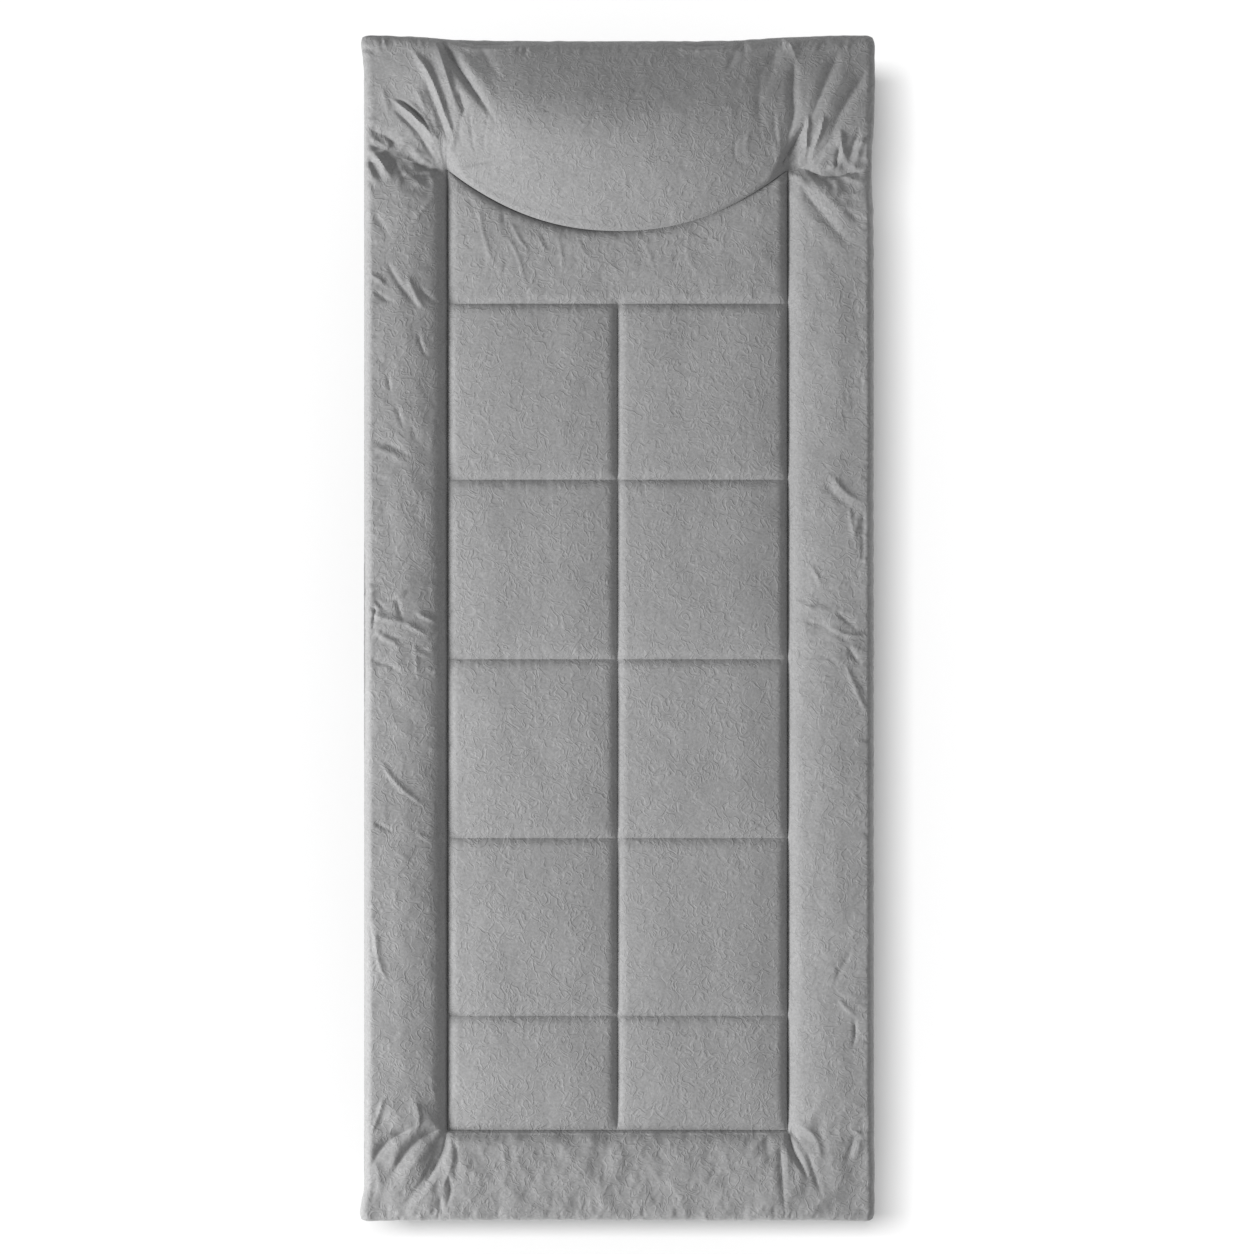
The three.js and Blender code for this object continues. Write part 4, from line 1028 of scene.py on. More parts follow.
def with_edge_lines(lines, end):
    """Grid lines up to an outer edge, the last of them close together where it rounds over"""
    return np.sort(np.unique(np.concatenate([lines[lines < end - 4.0], end - EDGE_LINES])))


def spread():
    """Grid lines that the cover's pieces share: the step, over a side strip, over the quilt"""
    step = sizes().mesh_step / MM
    half = SEAM_GAP / 2
    side = with_edge_lines(graded(SEAM_X + half, COVER_X, step, FINE_STEP, SIDE_RUN), COVER_X)
    inner = graded_through([-SEAM_X + half, 0.0, SEAM_X - half], step)
    return step, side, inner


def quilt_piece(name, low, high, folds):
    """One length of the quilted panel, with straight sides and a bottom in strips"""
    step, _, columns = spread()
    blank_row = QUILT_SEAMS[0]
    pillow_seam = PILLOW_Y - SEAM_GAP / 2
    at_pillow = high > blank_row
    seams = [seam for seam in reversed(QUILT_SEAMS) if low < seam < high]
    rows = graded_through([low] + seams + [pillow_seam if at_pillow else high], step)
    x, y = np.meshgrid(columns, rows)
    if at_pillow:
        share = clamped((y - blank_row) / (pillow_seam - blank_row))
        end = pillow_front(x) - SEAM_GAP / 2
        y = np.where(share > 0, blank_row + share * (end - blank_row), y)
    top = np.stack([x, y, cover_top(x, y, "quilt", folds)], axis=-1)
    shell = Shell()
    shell.grid(top)
    wall(shell, top[:, 0], flip=True)
    wall(shell, top[:, -1])
    wall(shell, top[0])
    wall(shell, top[-1], flip=True)
    # The bottom has a strip for each row, so that it bends with the top, and one face in the
    # blank row, which has curved ends
    bottom = top.copy()
    bottom[:, :, 2] = PAD_BOTTOM
    last = int(np.searchsorted(rows, blank_row - 1.0)) if at_pillow else len(rows) - 2
    shell.face(np.concatenate([bottom[0], bottom[1, [-1, 0]]]))
    shell.grid(bottom[1:last + 1, [0, -1]])
    shell.face(np.concatenate([bottom[last:, -1], bottom[-1, -2::-1], bottom[-2:last - 1:-1, 0]]))
    return shell.build(name)


def strip_top(columns, rows, folds, place=None):
    """Points of a bolster's top, rounded at the outer corners"""
    x, y = np.meshgrid(columns, rows)
    if place:
        y = place(x, y)
    z = cover_top(x, y, "border", folds)
    return np.stack([*rounded_outline(x, y), z], axis=-1)


def foot_border(name, folds):
    """The foot half's bolsters in one piece, along both sides and across the foot"""
    step, side_lines, inner = spread()
    seam_x = SEAM_X + SEAM_GAP / 2
    seam_y = FOOT_SEAM_Y - SEAM_GAP / 2
    fold_start = FOOT_CROSS_ROOM[0]
    long_rows = np.concatenate([
        graded(seam_y, fold_start, step, FINE_STEP, SEAM_RUN)[:-1],
        np.arange(fold_start, 0.0, min(step, FOLD_STEP)), [0.0]])
    # The rows across the foot lie as closely as the columns along the sides
    foot_rows = np.sort((COVER_X - side_lines) * (COVER_Y + seam_y) / (COVER_X - seam_x) - COVER_Y)
    foot_rows[-1] = seam_y
    rows = np.concatenate([foot_rows[:-1], long_rows])
    middle_columns = inner.copy()
    middle_columns[[0, -1]] = -seam_x, seam_x
    left = strip_top(-side_lines[::-1], rows, folds)
    right = strip_top(side_lines, rows, folds)
    middle = strip_top(middle_columns, foot_rows, folds)
    shell = Shell()
    for part in (left, right, middle):
        shell.grid(part)
    corner_row = len(foot_rows) - 1
    wall(shell, left[corner_row:, -1])
    wall(shell, right[corner_row:, 0], flip=True)
    wall(shell, middle[-1], flip=True)
    edge = np.concatenate([left[::-1, 0], left[0, 1:], middle[0, 1:-1], right[0, :-1], right[:, -1]])
    seam = np.column_stack([np.clip(edge[:, 0], -seam_x, seam_x), np.maximum(edge[:, 1], seam_y)])
    seam[:, 0] = np.where(edge[:, 1] > seam_y, np.sign(edge[:, 0]) * seam_x, seam[:, 0])
    rings = skirt(shell, edge, seam, 201)
    cap(shell, left[-1], rings[:, 0], flip=True)
    cap(shell, right[-1][::-1], rings[:, -1], flip=False)
    return shell.build(name)


def head_border(name, side, folds):
    """One side bolster of the head half, from the bed's middle to the pillow"""
    step, side_lines, _ = spread()
    fold_end = HEAD_CROSS_ROOM[1]
    stretch_start = 600.0
    rows = np.concatenate([
        np.arange(0.0, fold_end, min(step, FOLD_STEP)),
        graded(fold_end, PILLOW_Y, step, FINE_STEP, SEAM_RUN)])

    def place(x, y):
        """Stretches the end of the bolster to the pillow's pinched front"""
        share = eased((y - stretch_start) / (PILLOW_Y - stretch_start))
        return y + (pillow_front(x) - PILLOW_Y) * share

    top = strip_top(np.sort(side * side_lines), rows, folds, place)
    shell = Shell()
    shell.grid(top)
    # From here the outer edge comes first, and rows run the way that the skirt does
    top = top[::-1] if side < 0 else top[:, ::-1]
    wall(shell, top[:, -1], flip=True)
    rings = skirt(shell, top[:, 0], top[:, -1, :2], 205)
    cap(shell, top[0], rings[:, 0], flip=True)
    cap(shell, top[-1], rings[:, -1], flip=False)
    return shell.build(name)


def pillow_piece(name, folds):
    """The pillow across the whole head end, from its curved front to the end tube"""
    step, side_lines, inner = spread()
    half = SEAM_GAP / 2
    shares = graded(0.0, PILLOW_DEPTH, step * 0.9, FINE_STEP, BACK_RUN)
    shares = with_edge_lines(shares, PILLOW_DEPTH) / PILLOW_DEPTH
    columns = np.concatenate([-side_lines[::-1], inner[1:-1], side_lines])
    x, share = np.meshgrid(columns, shares)
    start = pillow_front(x) + np.where(np.abs(x) < SEAM_X, half, 0.0)
    front = share * (COVER_Y - start)
    y = start + front
    z = cover_top(x, y, "pillow", folds)
    # The front's roll overhangs its seam along the quilt
    lip_depth = 6.0
    lip_run = 14.0
    lip = lip_depth * np.sin(clamped(front / lip_run) * math.pi)
    lip *= 1 - clamped(np.abs(x) / SEAM_X) ** 6
    x, y = rounded_outline(x, y)
    top = np.stack([x, y - lip, z], axis=-1)
    shell = Shell()
    shell.grid(top)
    # Columns at the two side seams
    left_seam = len(side_lines) - 1
    right_seam = len(columns) - len(side_lines)
    edge = np.concatenate([top[:, -1], top[-1, -2:0:-1], top[::-1, 0]])
    seam = np.column_stack([
        np.clip(edge[:, 0], -SEAM_X - half, SEAM_X + half), np.minimum(edge[:, 1], PILLOW_BOTTOM_Y)])
    seam[0] = top[0, right_seam, :2]
    seam[-1] = top[0, left_seam, :2]
    rings = skirt(shell, edge, seam, 211)
    cap(shell, top[0, right_seam:][::-1], rings[:, 0], flip=True)
    cap(shell, top[0, :left_seam + 1], rings[:, -1], flip=False)
    front_line = top[0, left_seam:right_seam + 1]
    wall(shell, front_line)
    low = front_line.copy()
    low[:, 2] = PAD_BOTTOM
    # The bottom is one face, from which points that fall together are left out
    around = np.column_stack([seam, np.full(len(seam), PAD_BOTTOM)])
    apart = [around[0]]
    for point in around[1:]:
        if np.linalg.norm(point - apart[-1]) > 1e-3:
            apart.append(point)
    shell.face(np.vstack([low[::-1], apart[::-1][1:-1]]))
    return shell.build(name)


# Finishes

# Most values of a noise lie between these two
NOISE_RANGE = (0.3, 0.7)


def new_group(name, inputs, outputs):
    """A shader node group with named number sockets; returns it, its sockets and the place on
    the object"""
    tree = bpy.data.node_groups.new(name, "ShaderNodeTree")
    for label in inputs:
        tree.interface.new_socket(name=label, in_out="INPUT", socket_type="NodeSocketFloat")
    for label in outputs:
        tree.interface.new_socket(name=label, in_out="OUTPUT", socket_type="NodeSocketFloat")
    given = tree.nodes.new("NodeGroupInput").outputs
    made = tree.nodes.new("NodeGroupOutput").inputs
    place = tree.nodes.new("ShaderNodeTexCoord").outputs["Object"]
    return tree, given, made, place


def calculate(tree, operation, first, second=None, clamp=False):
    """A maths node on two sockets or numbers; returns its result"""
    node = tree.nodes.new("ShaderNodeMath")
    node.operation = operation
    node.use_clamp = clamp
    for slot, value in enumerate((first, second)):
        if value is None:
            continue
        if isinstance(value, (int, float)):
            node.inputs[slot].default_value = value
        else:
            tree.links.new(value, node.inputs[slot])
    return node.outputs[0]


def remap(tree, value, low, high, to_low=0.0, to_high=1.0):
    """Stretches a value between two limits to another two"""
    node = tree.nodes.new("ShaderNodeMapRange")
    tree.links.new(value, node.inputs["Value"])
    for key, number in (("From Min", low), ("From Max", high), ("To Min", to_low), ("To Max", to_high)):
        node.inputs[key].default_value = number
    return node.outputs["Result"]


def textured(tree, source, size, detail, distortion=0.0, roughness=0.5):
    """Noise on object coordinates; size is a socket in metres for one hill"""
    node = tree.nodes.new("ShaderNodeTexNoise")
    node.noise_type = "FBM"
    tree.links.new(source, node.inputs["Vector"])
    tree.links.new(calculate(tree, "DIVIDE", 1.0, size), node.inputs["Scale"])
    for key, number in (("Detail", detail), ("Roughness", roughness), ("Distortion", distortion)):
        node.inputs[key].default_value = number
    return node.outputs["Fac"]


def melange_group():
    """Flecked yarn with soft clouds, as in a peached polyester"""
    tree, given, made, place = new_group(
        "Melange", ("Fleck size", "Cloud size", "Fleck share"), ("Mask",))
    fleck = textured(tree, place, given["Fleck size"], 2.0, roughness=0.7)
    cloud = textured(tree, place, given["Cloud size"], 3.0, distortion=0.6)
    share = calculate(tree, "MULTIPLY", remap(tree, fleck, *NOISE_RANGE), given["Fleck share"])
    rest = calculate(tree, "SUBTRACT", 1.0, given["Fleck share"])
    clouded = calculate(tree, "MULTIPLY", remap(tree, cloud, *NOISE_RANGE), rest)
    tree.links.new(calculate(tree, "ADD", share, clouded, clamp=True), made["Mask"])
    return tree


def crinkle_group():
    """Short curling ridges of a thin brushed cloth over wadding, and a mask of the ridge lines for a
    painted highlight
    """
    tree, given, made, place = new_group(
        "Crinkle", ("Size", "Fuzz size", "Fuzz share"), ("Height", "Ridge highlight"))
    wave = textured(tree, place, given["Size"], 1.0, distortion=1.3)
    ridge = calculate(tree, "ABSOLUTE", calculate(tree, "SUBTRACT", wave, 0.5))
    ridge = remap(tree, ridge, 0.0, 0.085, 1.0, 0.0)
    patch = textured(tree, place, calculate(tree, "MULTIPLY", given["Size"], 2.3), 1.0)
    ridge = calculate(tree, "MULTIPLY", ridge, remap(tree, patch, 0.34, 0.5, 0.25, 1.0))
    fuzz = textured(tree, place, given["Fuzz size"], 3.0, roughness=0.7)
    ground = calculate(tree, "MULTIPLY", remap(tree, wave, *NOISE_RANGE), 0.45)
    fuzzy = calculate(tree, "MULTIPLY", fuzz, given["Fuzz share"])
    height = calculate(tree, "ADD", calculate(tree, "MULTIPLY", ridge, 0.55), ground)
    tree.links.new(calculate(tree, "ADD", height, fuzzy), made["Height"])
    # The ridge lines also go out as a mask for a painted highlight, which lightens the cloth's colour
    tree.links.new(ridge, made["Ridge highlight"])
    return tree


def weave_group():
    """Plain weave: warp and weft threads that pass over and under each other"""
    tree, given, made, place = new_group("Weave", ("Thread",), ("Height",))
    split = tree.nodes.new("ShaderNodeSeparateXYZ")
    tree.links.new(place, split.inputs[0])
    turn = calculate(tree, "DIVIDE", math.pi, given["Thread"])
    across, along = [
        calculate(tree, "SINE", calculate(tree, "MULTIPLY", split.outputs[axis], turn))
        for axis in ("X", "Y")]
    checker = calculate(tree, "MULTIPLY", across, along)
    tree.links.new(remap(tree, checker, -1.0, 1.0), made["Height"])
    return tree


def wear_group():
    """Scuffs and fine scratches, a mask from 0 to 1"""
    tree, given, made, place = new_group("Wear", ("Size", "Amount"), ("Mask",))
    broad = textured(tree, place, given["Size"], 6.0, roughness=0.7)
    fine = textured(tree, place, calculate(tree, "MULTIPLY", given["Size"], 0.12), 4.0)
    broad = calculate(tree, "MULTIPLY", broad, 0.7)
    both = calculate(tree, "ADD", broad, calculate(tree, "MULTIPLY", fine, 0.3))
    level = calculate(tree, "SUBTRACT", 0.72, given["Amount"])
    above = calculate(tree, "SUBTRACT", both, level)
    tree.links.new(calculate(tree, "MULTIPLY", above, 9.0, clamp=True), made["Mask"])
    return tree


def grain_group():
    """Fine grain of a coat or a moulding"""
    tree, given, made, place = new_group("Grain", ("Size",), ("Height", "Mask"))
    fine = textured(tree, place, given["Size"], 3.0, roughness=0.6)
    tree.links.new(fine, made["Height"])
    tree.links.new(remap(tree, fine, *NOISE_RANGE), made["Mask"])
    return tree


def use_group(tree, group, **values):
    """Places a group in a material with its own values; returns its outputs"""
    node = tree.nodes.new("ShaderNodeGroup")
    node.node_tree = group
    for key, value in values.items():
        node.inputs[key.replace("_", " ")].default_value = value
    return node.outputs


def new_material(name, **constants):
    """A material of one shader with its plain values; returns it, its tree, the shader's inputs"""
    material = bpy.data.materials.new(name)
    material.use_nodes = True
    tree = material.node_tree
    tree.nodes.clear()
    node = tree.nodes.new("ShaderNodeBsdfPrincipled")
    output = tree.nodes.new("ShaderNodeOutputMaterial")
    tree.links.new(node.outputs["BSDF"], output.inputs["Surface"])
    for key, value in constants.items():
        node.inputs[key.replace("_", " ")].default_value = value
    return material, tree, node.inputs


def coloured(tree, shader, mask, tone, dark, light):
    """Colours the shader between a darker and a lighter tone, by a mask"""
    first_colour, second_colour, mixed_colour = 6, 7, 2
    mix = tree.nodes.new("ShaderNodeMix")
    mix.data_type = "RGBA"
    tree.links.new(mask, mix.inputs["Factor"])
    for slot, factor in ((first_colour, dark), (second_colour, light)):
        mix.inputs[slot].default_value = tuple(min(1.0, c * factor) for c in tone) + (1.0,)
    tree.links.new(mix.outputs[mixed_colour], shader["Base Color"])


def roughened(tree, shader, mask, low, high):
    """Roughness from low, where the mask is 0, to high"""
    tree.links.new(remap(tree, mask, 0.0, 1.0, low, high), shader["Roughness"])


def bumped(tree, shader, height, distance):
    """Raises the surface by a height, in metres"""
    node = tree.nodes.new("ShaderNodeBump")
    node.inputs["Distance"].default_value = distance
    node.inputs["Strength"].default_value = 1.0
    tree.links.new(height, node.inputs["Height"])
    tree.links.new(node.outputs["Normal"], shader["Normal"])


def make_cover_fabric(groups):
    """Grey melange cloth with a soft nap and fine crinkles, whose ridges carry a painted highlight"""
    _, tree, shader = new_material(
        "cover_fabric_finish", Specular_IOR_Level=0.2, Sheen_Weight=0.22, Sheen_Roughness=0.45)
    yarn = use_group(tree, groups["Melange"], Fleck_size=0.0042, Cloud_size=0.16, Fleck_share=0.7)
    crinkle = use_group(tree, groups["Crinkle"], Size=0.017, Fuzz_size=0.0045, Fuzz_share=0.22)
    # Painted highlight: the crinkles' ridge lines lighten the colour, as if their crests catch the
    # light
    lines = calculate(tree, "MULTIPLY", crinkle["Ridge highlight"], 0.16)
    yarn_and_highlight = calculate(tree, "ADD", calculate(tree, "MULTIPLY", yarn["Mask"], 0.85), lines)
    coloured(tree, shader, yarn_and_highlight, colours().cover, dark=0.83, light=1.25)
    roughened(tree, shader, yarn["Mask"], low=0.98, high=0.86)
    bumped(tree, shader, crinkle["Height"], distance=0.00085)


def make_sling_fabric(groups):
    """Dark woven cloth whose raised threads are coloured lighter, a painted highlight where they would
    catch the light
    """
    _, tree, shader = new_material("sling_fabric_finish", Specular_IOR_Level=0.35)
    weave = use_group(tree, groups["Weave"], Thread=0.0011)
    # Painted highlight: the weave's raised threads are coloured lighter than the rest
    coloured(tree, shader, weave["Height"], colours().sling, dark=0.7, light=1.35)
    roughened(tree, shader, weave["Height"], low=0.85, high=0.62)
    bumped(tree, shader, weave["Height"], distance=0.0004)


def make_zinc_steel(groups):
    """Zinc with a fine spangle and scuffs"""
    _, tree, shader = new_material("zinc_steel_finish", Metallic=1.0)
    grain = use_group(tree, groups["Grain"], Size=0.006)
    wear = use_group(tree, groups["Wear"], Size=0.02, Amount=0.1)
    coloured(tree, shader, grain["Mask"], colours().zinc, dark=0.85, light=1.1)
    roughened(tree, shader, wear["Mask"], low=0.34, high=0.55)
    bumped(tree, shader, wear["Mask"], distance=0.00004)


def make_grained(groups, name, tone, grain_size, wear_size, amount, worn_tone, rough, depth):
    """A grained coat or moulding that is paler where it's worn"""
    _, tree, shader = new_material(name)
    grain = use_group(tree, groups["Grain"], Size=grain_size)
    wear = use_group(tree, groups["Wear"], Size=wear_size, Amount=amount)
    coloured(tree, shader, wear["Mask"], tone, dark=1.0, light=worn_tone)
    roughened(tree, shader, wear["Mask"], *rough)
    bumped(tree, shader, grain["Height"], depth)


def finish(slot):
    """The material made for one of the record's slots"""
    return bpy.data.materials[slot + "_finish"]


def dressed(piece, slot, *nodes):
    """Gives a rigid piece its finish, and puts it in the place of its CAD nodes"""
    piece.data.materials.clear()
    piece.data.materials.append(finish(slot))
    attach(piece, frame["nodes"][nodes[0]]["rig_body"])
    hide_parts(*nodes)


# Rigid pieces

def named(name):
    """The primitive that was just added, renamed"""
    piece = bpy.context.active_object
    piece.name = name
    piece.data.name = name
    return piece


def modified(piece, kind, **settings):
    """Adds a modifier and applies it"""
    only(piece)
    modifier = piece.modifiers.new(kind.title(), kind)
    for key, value in settings.items():
        setattr(modifier, key, value)
    bpy.ops.object.modifier_apply(modifier=modifier.name)


def thickened(piece, thickness):
    """Gives a surface its wall, inwards"""
    modified(piece, "SOLIDIFY", thickness=thickness * MM, offset=-1.0)


def bevelled(piece, width, segments, angle):
    """Rounds the edges that turn by more than the angle"""
    modified(piece, "BEVEL", width=width * MM, segments=segments, limit_method="ANGLE",
             angle_limit=math.radians(angle))


def settled(piece, angle=35.0):
    """Puts the piece's place into its mesh and shades it"""
    only(piece)
    bpy.ops.object.transform_apply(location=True, rotation=True, scale=True)
    bpy.ops.object.shade_smooth_by_angle(angle=math.radians(angle))
    return piece


def bar(name, radius, start, end, wall_thickness=0.0, sides=40, bevel=0.0):
    """A rod or tube between two points"""
    start = Vector(start) * MM
    end = Vector(end) * MM
    line = end - start
    deselect()
    bpy.ops.mesh.primitive_cylinder_add(
        vertices=sides, radius=radius * MM, depth=line.length, location=(start + end) / 2,
        rotation=line.to_track_quat("Z", "Y").to_euler(),
        end_fill_type="NOTHING" if wall_thickness else "NGON")
    piece = named(name)
    if wall_thickness:
        thickened(piece, wall_thickness)
    if bevel:
        bevelled(piece, bevel, segments=3, angle=50)
    return settled(piece)


def plate(name, outline, low_x, high_x, bevel=0.4):
    """A flat plate: an outline in Y and Z, thick along X"""
    deselect()
    bpy.ops.mesh.primitive_circle_add(vertices=len(outline), radius=1.0, fill_type="NGON")
    piece = named(name)
    for vertex, (y, z) in zip(piece.data.vertices, outline):
        vertex.co = (low_x * MM, y * MM, z * MM)
    open_for_editing()
    bpy.ops.mesh.extrude_region_move(
        TRANSFORM_OT_translate={"value": ((high_x - low_x) * MM, 0, 0)})
    close_editing()
    bevelled(piece, bevel, segments=2, angle=40)
    return settled(piece)


def joined(name, pieces):
    """Several parts of one fitting as one piece"""
    deselect()
    for piece in pieces:
        piece.select_set(True)
    bpy.context.view_layer.objects.active = pieces[0]
    bpy.ops.object.join()
    return named(name)


def moved(piece, x, y, z, turn=0.0):
    """Turns a piece about the X axis and then sets it in its place"""
    place = Matrix.Translation((x * MM, y * MM, z * MM))
    piece.matrix_world = place @ Matrix.Rotation(turn, 4, "X")
    return settled(piece)


def rounded_corners(outline, radius, steps=6):
    """An outline with its corners rounded"""
    points = [Vector(p) for p in outline]
    out = []
    for i, corner in enumerate(points):
        to_before = points[i - 1] - corner
        to_after = points[(i + 1) % len(points)] - corner
        reach = min(radius, 0.45 * to_before.length, 0.45 * to_after.length)
        a = corner + to_before.normalized() * reach
        b = corner + to_after.normalized() * reach
        for t in [step / steps for step in range(steps + 1)]:
            out.append((1 - t) ** 2 * a + 2 * t * (1 - t) * corner + t * t * b)
    return [(p.x, p.y) for p in out]


def box_piece(name, low, high):
    """A flat bar between two corners"""
    outline = [(low[1], low[2]), (high[1], low[2]), (high[1], high[2]), (low[1], high[2])]
    return plate(name, outline, low[0], high[0])


def make_rail(name, side, end):
    """A side rail with its end rounded about the hinge pin"""
    inner = end * PIN_Y
    outer = end * (END_Y - CORNER_START)
    piece = bar(name, RAIL_RADIUS, (side * RAIL_X, inner, RAIL_Z), (side * RAIL_X, outer, RAIL_Z),
                TUBE_WALL)
    roundness = 0.97
    for vertex in piece.data.vertices:
        if abs(vertex.co.y - inner * MM) < 1e-5:
            height = vertex.co.z - RAIL_Z * MM
            reach = max((RAIL_RADIUS * MM) ** 2 - height ** 2, 0.0) ** 0.5
            vertex.co.y -= end * roundness * reach
    return piece


def make_corner(name, side, end):
    """A moulded corner: a ball with two sockets"""
    ball_radius = 20.0
    socket_radius = 14.2
    socket_wall = 1.4
    start, stop = 8.0, 48.0
    x, y = side * RAIL_X, end * END_Y
    deselect()
    bpy.ops.mesh.primitive_uv_sphere_add(
        segments=40, ring_count=20, radius=ball_radius * MM, location=(x * MM, y * MM, RAIL_Z * MM))
    parts = [settled(named(name))]
    for dx, dy in ((0, -end), (-side, 0)):
        parts.append(bar(name, socket_radius, (x + dx * start, y + dy * start, RAIL_Z),
                         (x + dx * stop, y + dy * stop, RAIL_Z), socket_wall))
    return joined(name, parts)


def make_leg(name, y, outward):
    """A U leg: a ring drawn down, round the bend, across the floor and up again"""
    deselect()
    bpy.ops.mesh.primitive_circle_add(
        vertices=32, radius=LEG_RADIUS * MM, fill_type="NOTHING",
        location=(-RAIL_X * MM, 0, LEG_TOP * MM))
    piece = named(name)
    bpy.ops.object.transform_apply(location=True, rotation=True, scale=True)
    drop = (LEG_TOP + LEG_LENGTH - LEG_BEND) * MM
    floor = 2 * (RAIL_X - LEG_BEND) * MM
    low = (-LEG_LENGTH + LEG_BEND) * MM
    open_for_editing()
    bpy.ops.mesh.extrude_region_move(TRANSFORM_OT_translate={"value": (0, 0, -drop)})
    bpy.ops.mesh.spin(steps=12, angle=math.pi / 2, axis=(0, 1, 0),
                      center=((-RAIL_X + LEG_BEND) * MM, 0, low))
    bpy.ops.mesh.extrude_region_move(TRANSFORM_OT_translate={"value": (floor, 0, 0)})
    bpy.ops.mesh.spin(steps=12, angle=math.pi / 2, axis=(0, 1, 0),
                      center=((RAIL_X - LEG_BEND) * MM, 0, low))
    bpy.ops.mesh.extrude_region_move(TRANSFORM_OT_translate={"value": (0, 0, drop)})
    bpy.ops.mesh.select_all(action="SELECT")
    bpy.ops.mesh.remove_doubles(threshold=1e-6)
    close_editing()
    thickened(piece, TUBE_WALL)
    return moved(piece, 0, y, RAIL_Z - PIVOT_DROP, outward * LEG_SPLAY)


def make_bracket(name, x, y, outward):
    """A stamped leg bracket: saddle, two ears, stop plate and two rivets"""
    sheet = 2.2
    play = 0.3
    saddle_radius = RAIL_RADIUS + play + sheet
    saddle_length = 44.0
    ear_round = 3.0
    ear_inner = LEG_RADIUS + 0.4
    stop_outer = LEG_RADIUS + play + sheet
    stop_low, stop_high = -27.0, -11.0
    rivet_radius = 4.0
    bevel = sizes().edge_bevel / MM
    deselect()
    bpy.ops.mesh.primitive_cylinder_add(
        vertices=48, radius=saddle_radius * MM, depth=saddle_length * MM, end_fill_type="NOTHING",
        location=(0, 0, 0), rotation=(math.pi / 2, 0, 0))
    saddle = named(name)
    bpy.ops.object.transform_apply(location=True, rotation=True, scale=True)
    open_for_editing()
    bpy.ops.mesh.bisect(plane_co=(0, 0, 0), plane_no=(0, 0, 1), clear_outer=True)
    bpy.ops.object.mode_set(mode="OBJECT")
    thickened(saddle, sheet)
    bevelled(saddle, bevel, segments=2, angle=50)
    parts = [settled(saddle)]
    ear = [(-15, -6.2), (-15, -31.5), (-7.5, -51.0), (stop_outer / 2, -65.0),
           (stop_outer + 3.8, -65.0), (15, -49.0), (15, -6.2)]
    ear = rounded_corners([(outward * along, height) for along, height in ear], ear_round)
    for low in (-ear_inner - sheet, ear_inner):
        parts.append(plate(name, ear, low, low + sheet, bevel))
    near, far = sorted((outward * stop_outer, outward * (stop_outer - sheet)))
    stop = box_piece(name, (-ear_inner - 1, near, stop_low), (ear_inner + 1, far, stop_high))
    parts.append(moved(stop, 0, 0, -PIVOT_DROP, outward * LEG_SPLAY))
    for offset in (-15.0, 15.0):
        parts.append(bar(name, rivet_radius, (0, offset, -saddle_radius + 1),
                         (0, offset, -saddle_radius - 1.4), sides=24, bevel=0.8))
    return moved(joined(name, parts), x, y, RAIL_Z)


def make_pin(name, kind, place):
    """A riveted pin along X with a rounded head at each end"""
    radius, head_radius, head, grip = PIN_SIZES[kind]
    x, y, z = place
    half = grip / 2
    parts = [bar(name, radius, (x - half, y, z), (x + half, y, z), sides=28)]
    for s in (-1, 1):
        parts.append(bar(name, head_radius, (x + s * half, y, z), (x + s * (half + head), y, z),
                         sides=32, bevel=0.45 * head))
    return joined(name, parts)


def make_channel(name, side):
    """The hinge's channel: two walls and the web under the rails"""
    sheet = 1.8
    inner = RAIL_RADIUS + 0.3
    outer = inner + sheet
    bottom = -(RAIL_RADIUS + 0.6 + sheet)
    half = 100.0
    web_half = 92.0
    corner_round = 9.0
    outline = [(-half, bottom), (half, bottom), (half, RAIL_RADIUS), (-half, RAIL_RADIUS)]
    outline = rounded_corners(outline, corner_round, 8)
    parts = [plate(name, outline, low, low + sheet, sizes().edge_bevel / MM) for low in (-outer, inner)]
    parts.append(box_piece(
        name, (-outer + 0.2, -web_half, bottom), (outer - 0.2, web_half, bottom + sheet)))
    return moved(joined(name, parts), side * RAIL_X, 0, RAIL_Z)


def make_glide(name, x, y):
    """A push-on foot: a clip round the floor bar on a flat sole"""
    bore = LEG_RADIUS + 0.3
    outer = bore + 3.6
    half_slot = 6.5
    half = 18.0
    sole_top = -11.0

    def arc(radius, start, stop, count):
        return [(radius * math.cos(t), radius * math.sin(t)) for t in np.linspace(start, stop, count)]

    rise = math.acos(half_slot / outer)
    drop = math.acos(half_slot / bore)
    outline = [(-half, -GLIDE_AXIS_Z), (half, -GLIDE_AXIS_Z), (half, sole_top)]
    outline += arc(outer, 0, rise, 12)
    outline += arc(bore, drop, -math.pi - drop, 44)
    outline += arc(outer, math.pi - rise, math.pi, 12)
    outline += [(-half, sole_top)]
    piece = plate(name, outline, -20.0, 20.0, 0.9)
    return moved(piece, x, y, GLIDE_AXIS_Z)


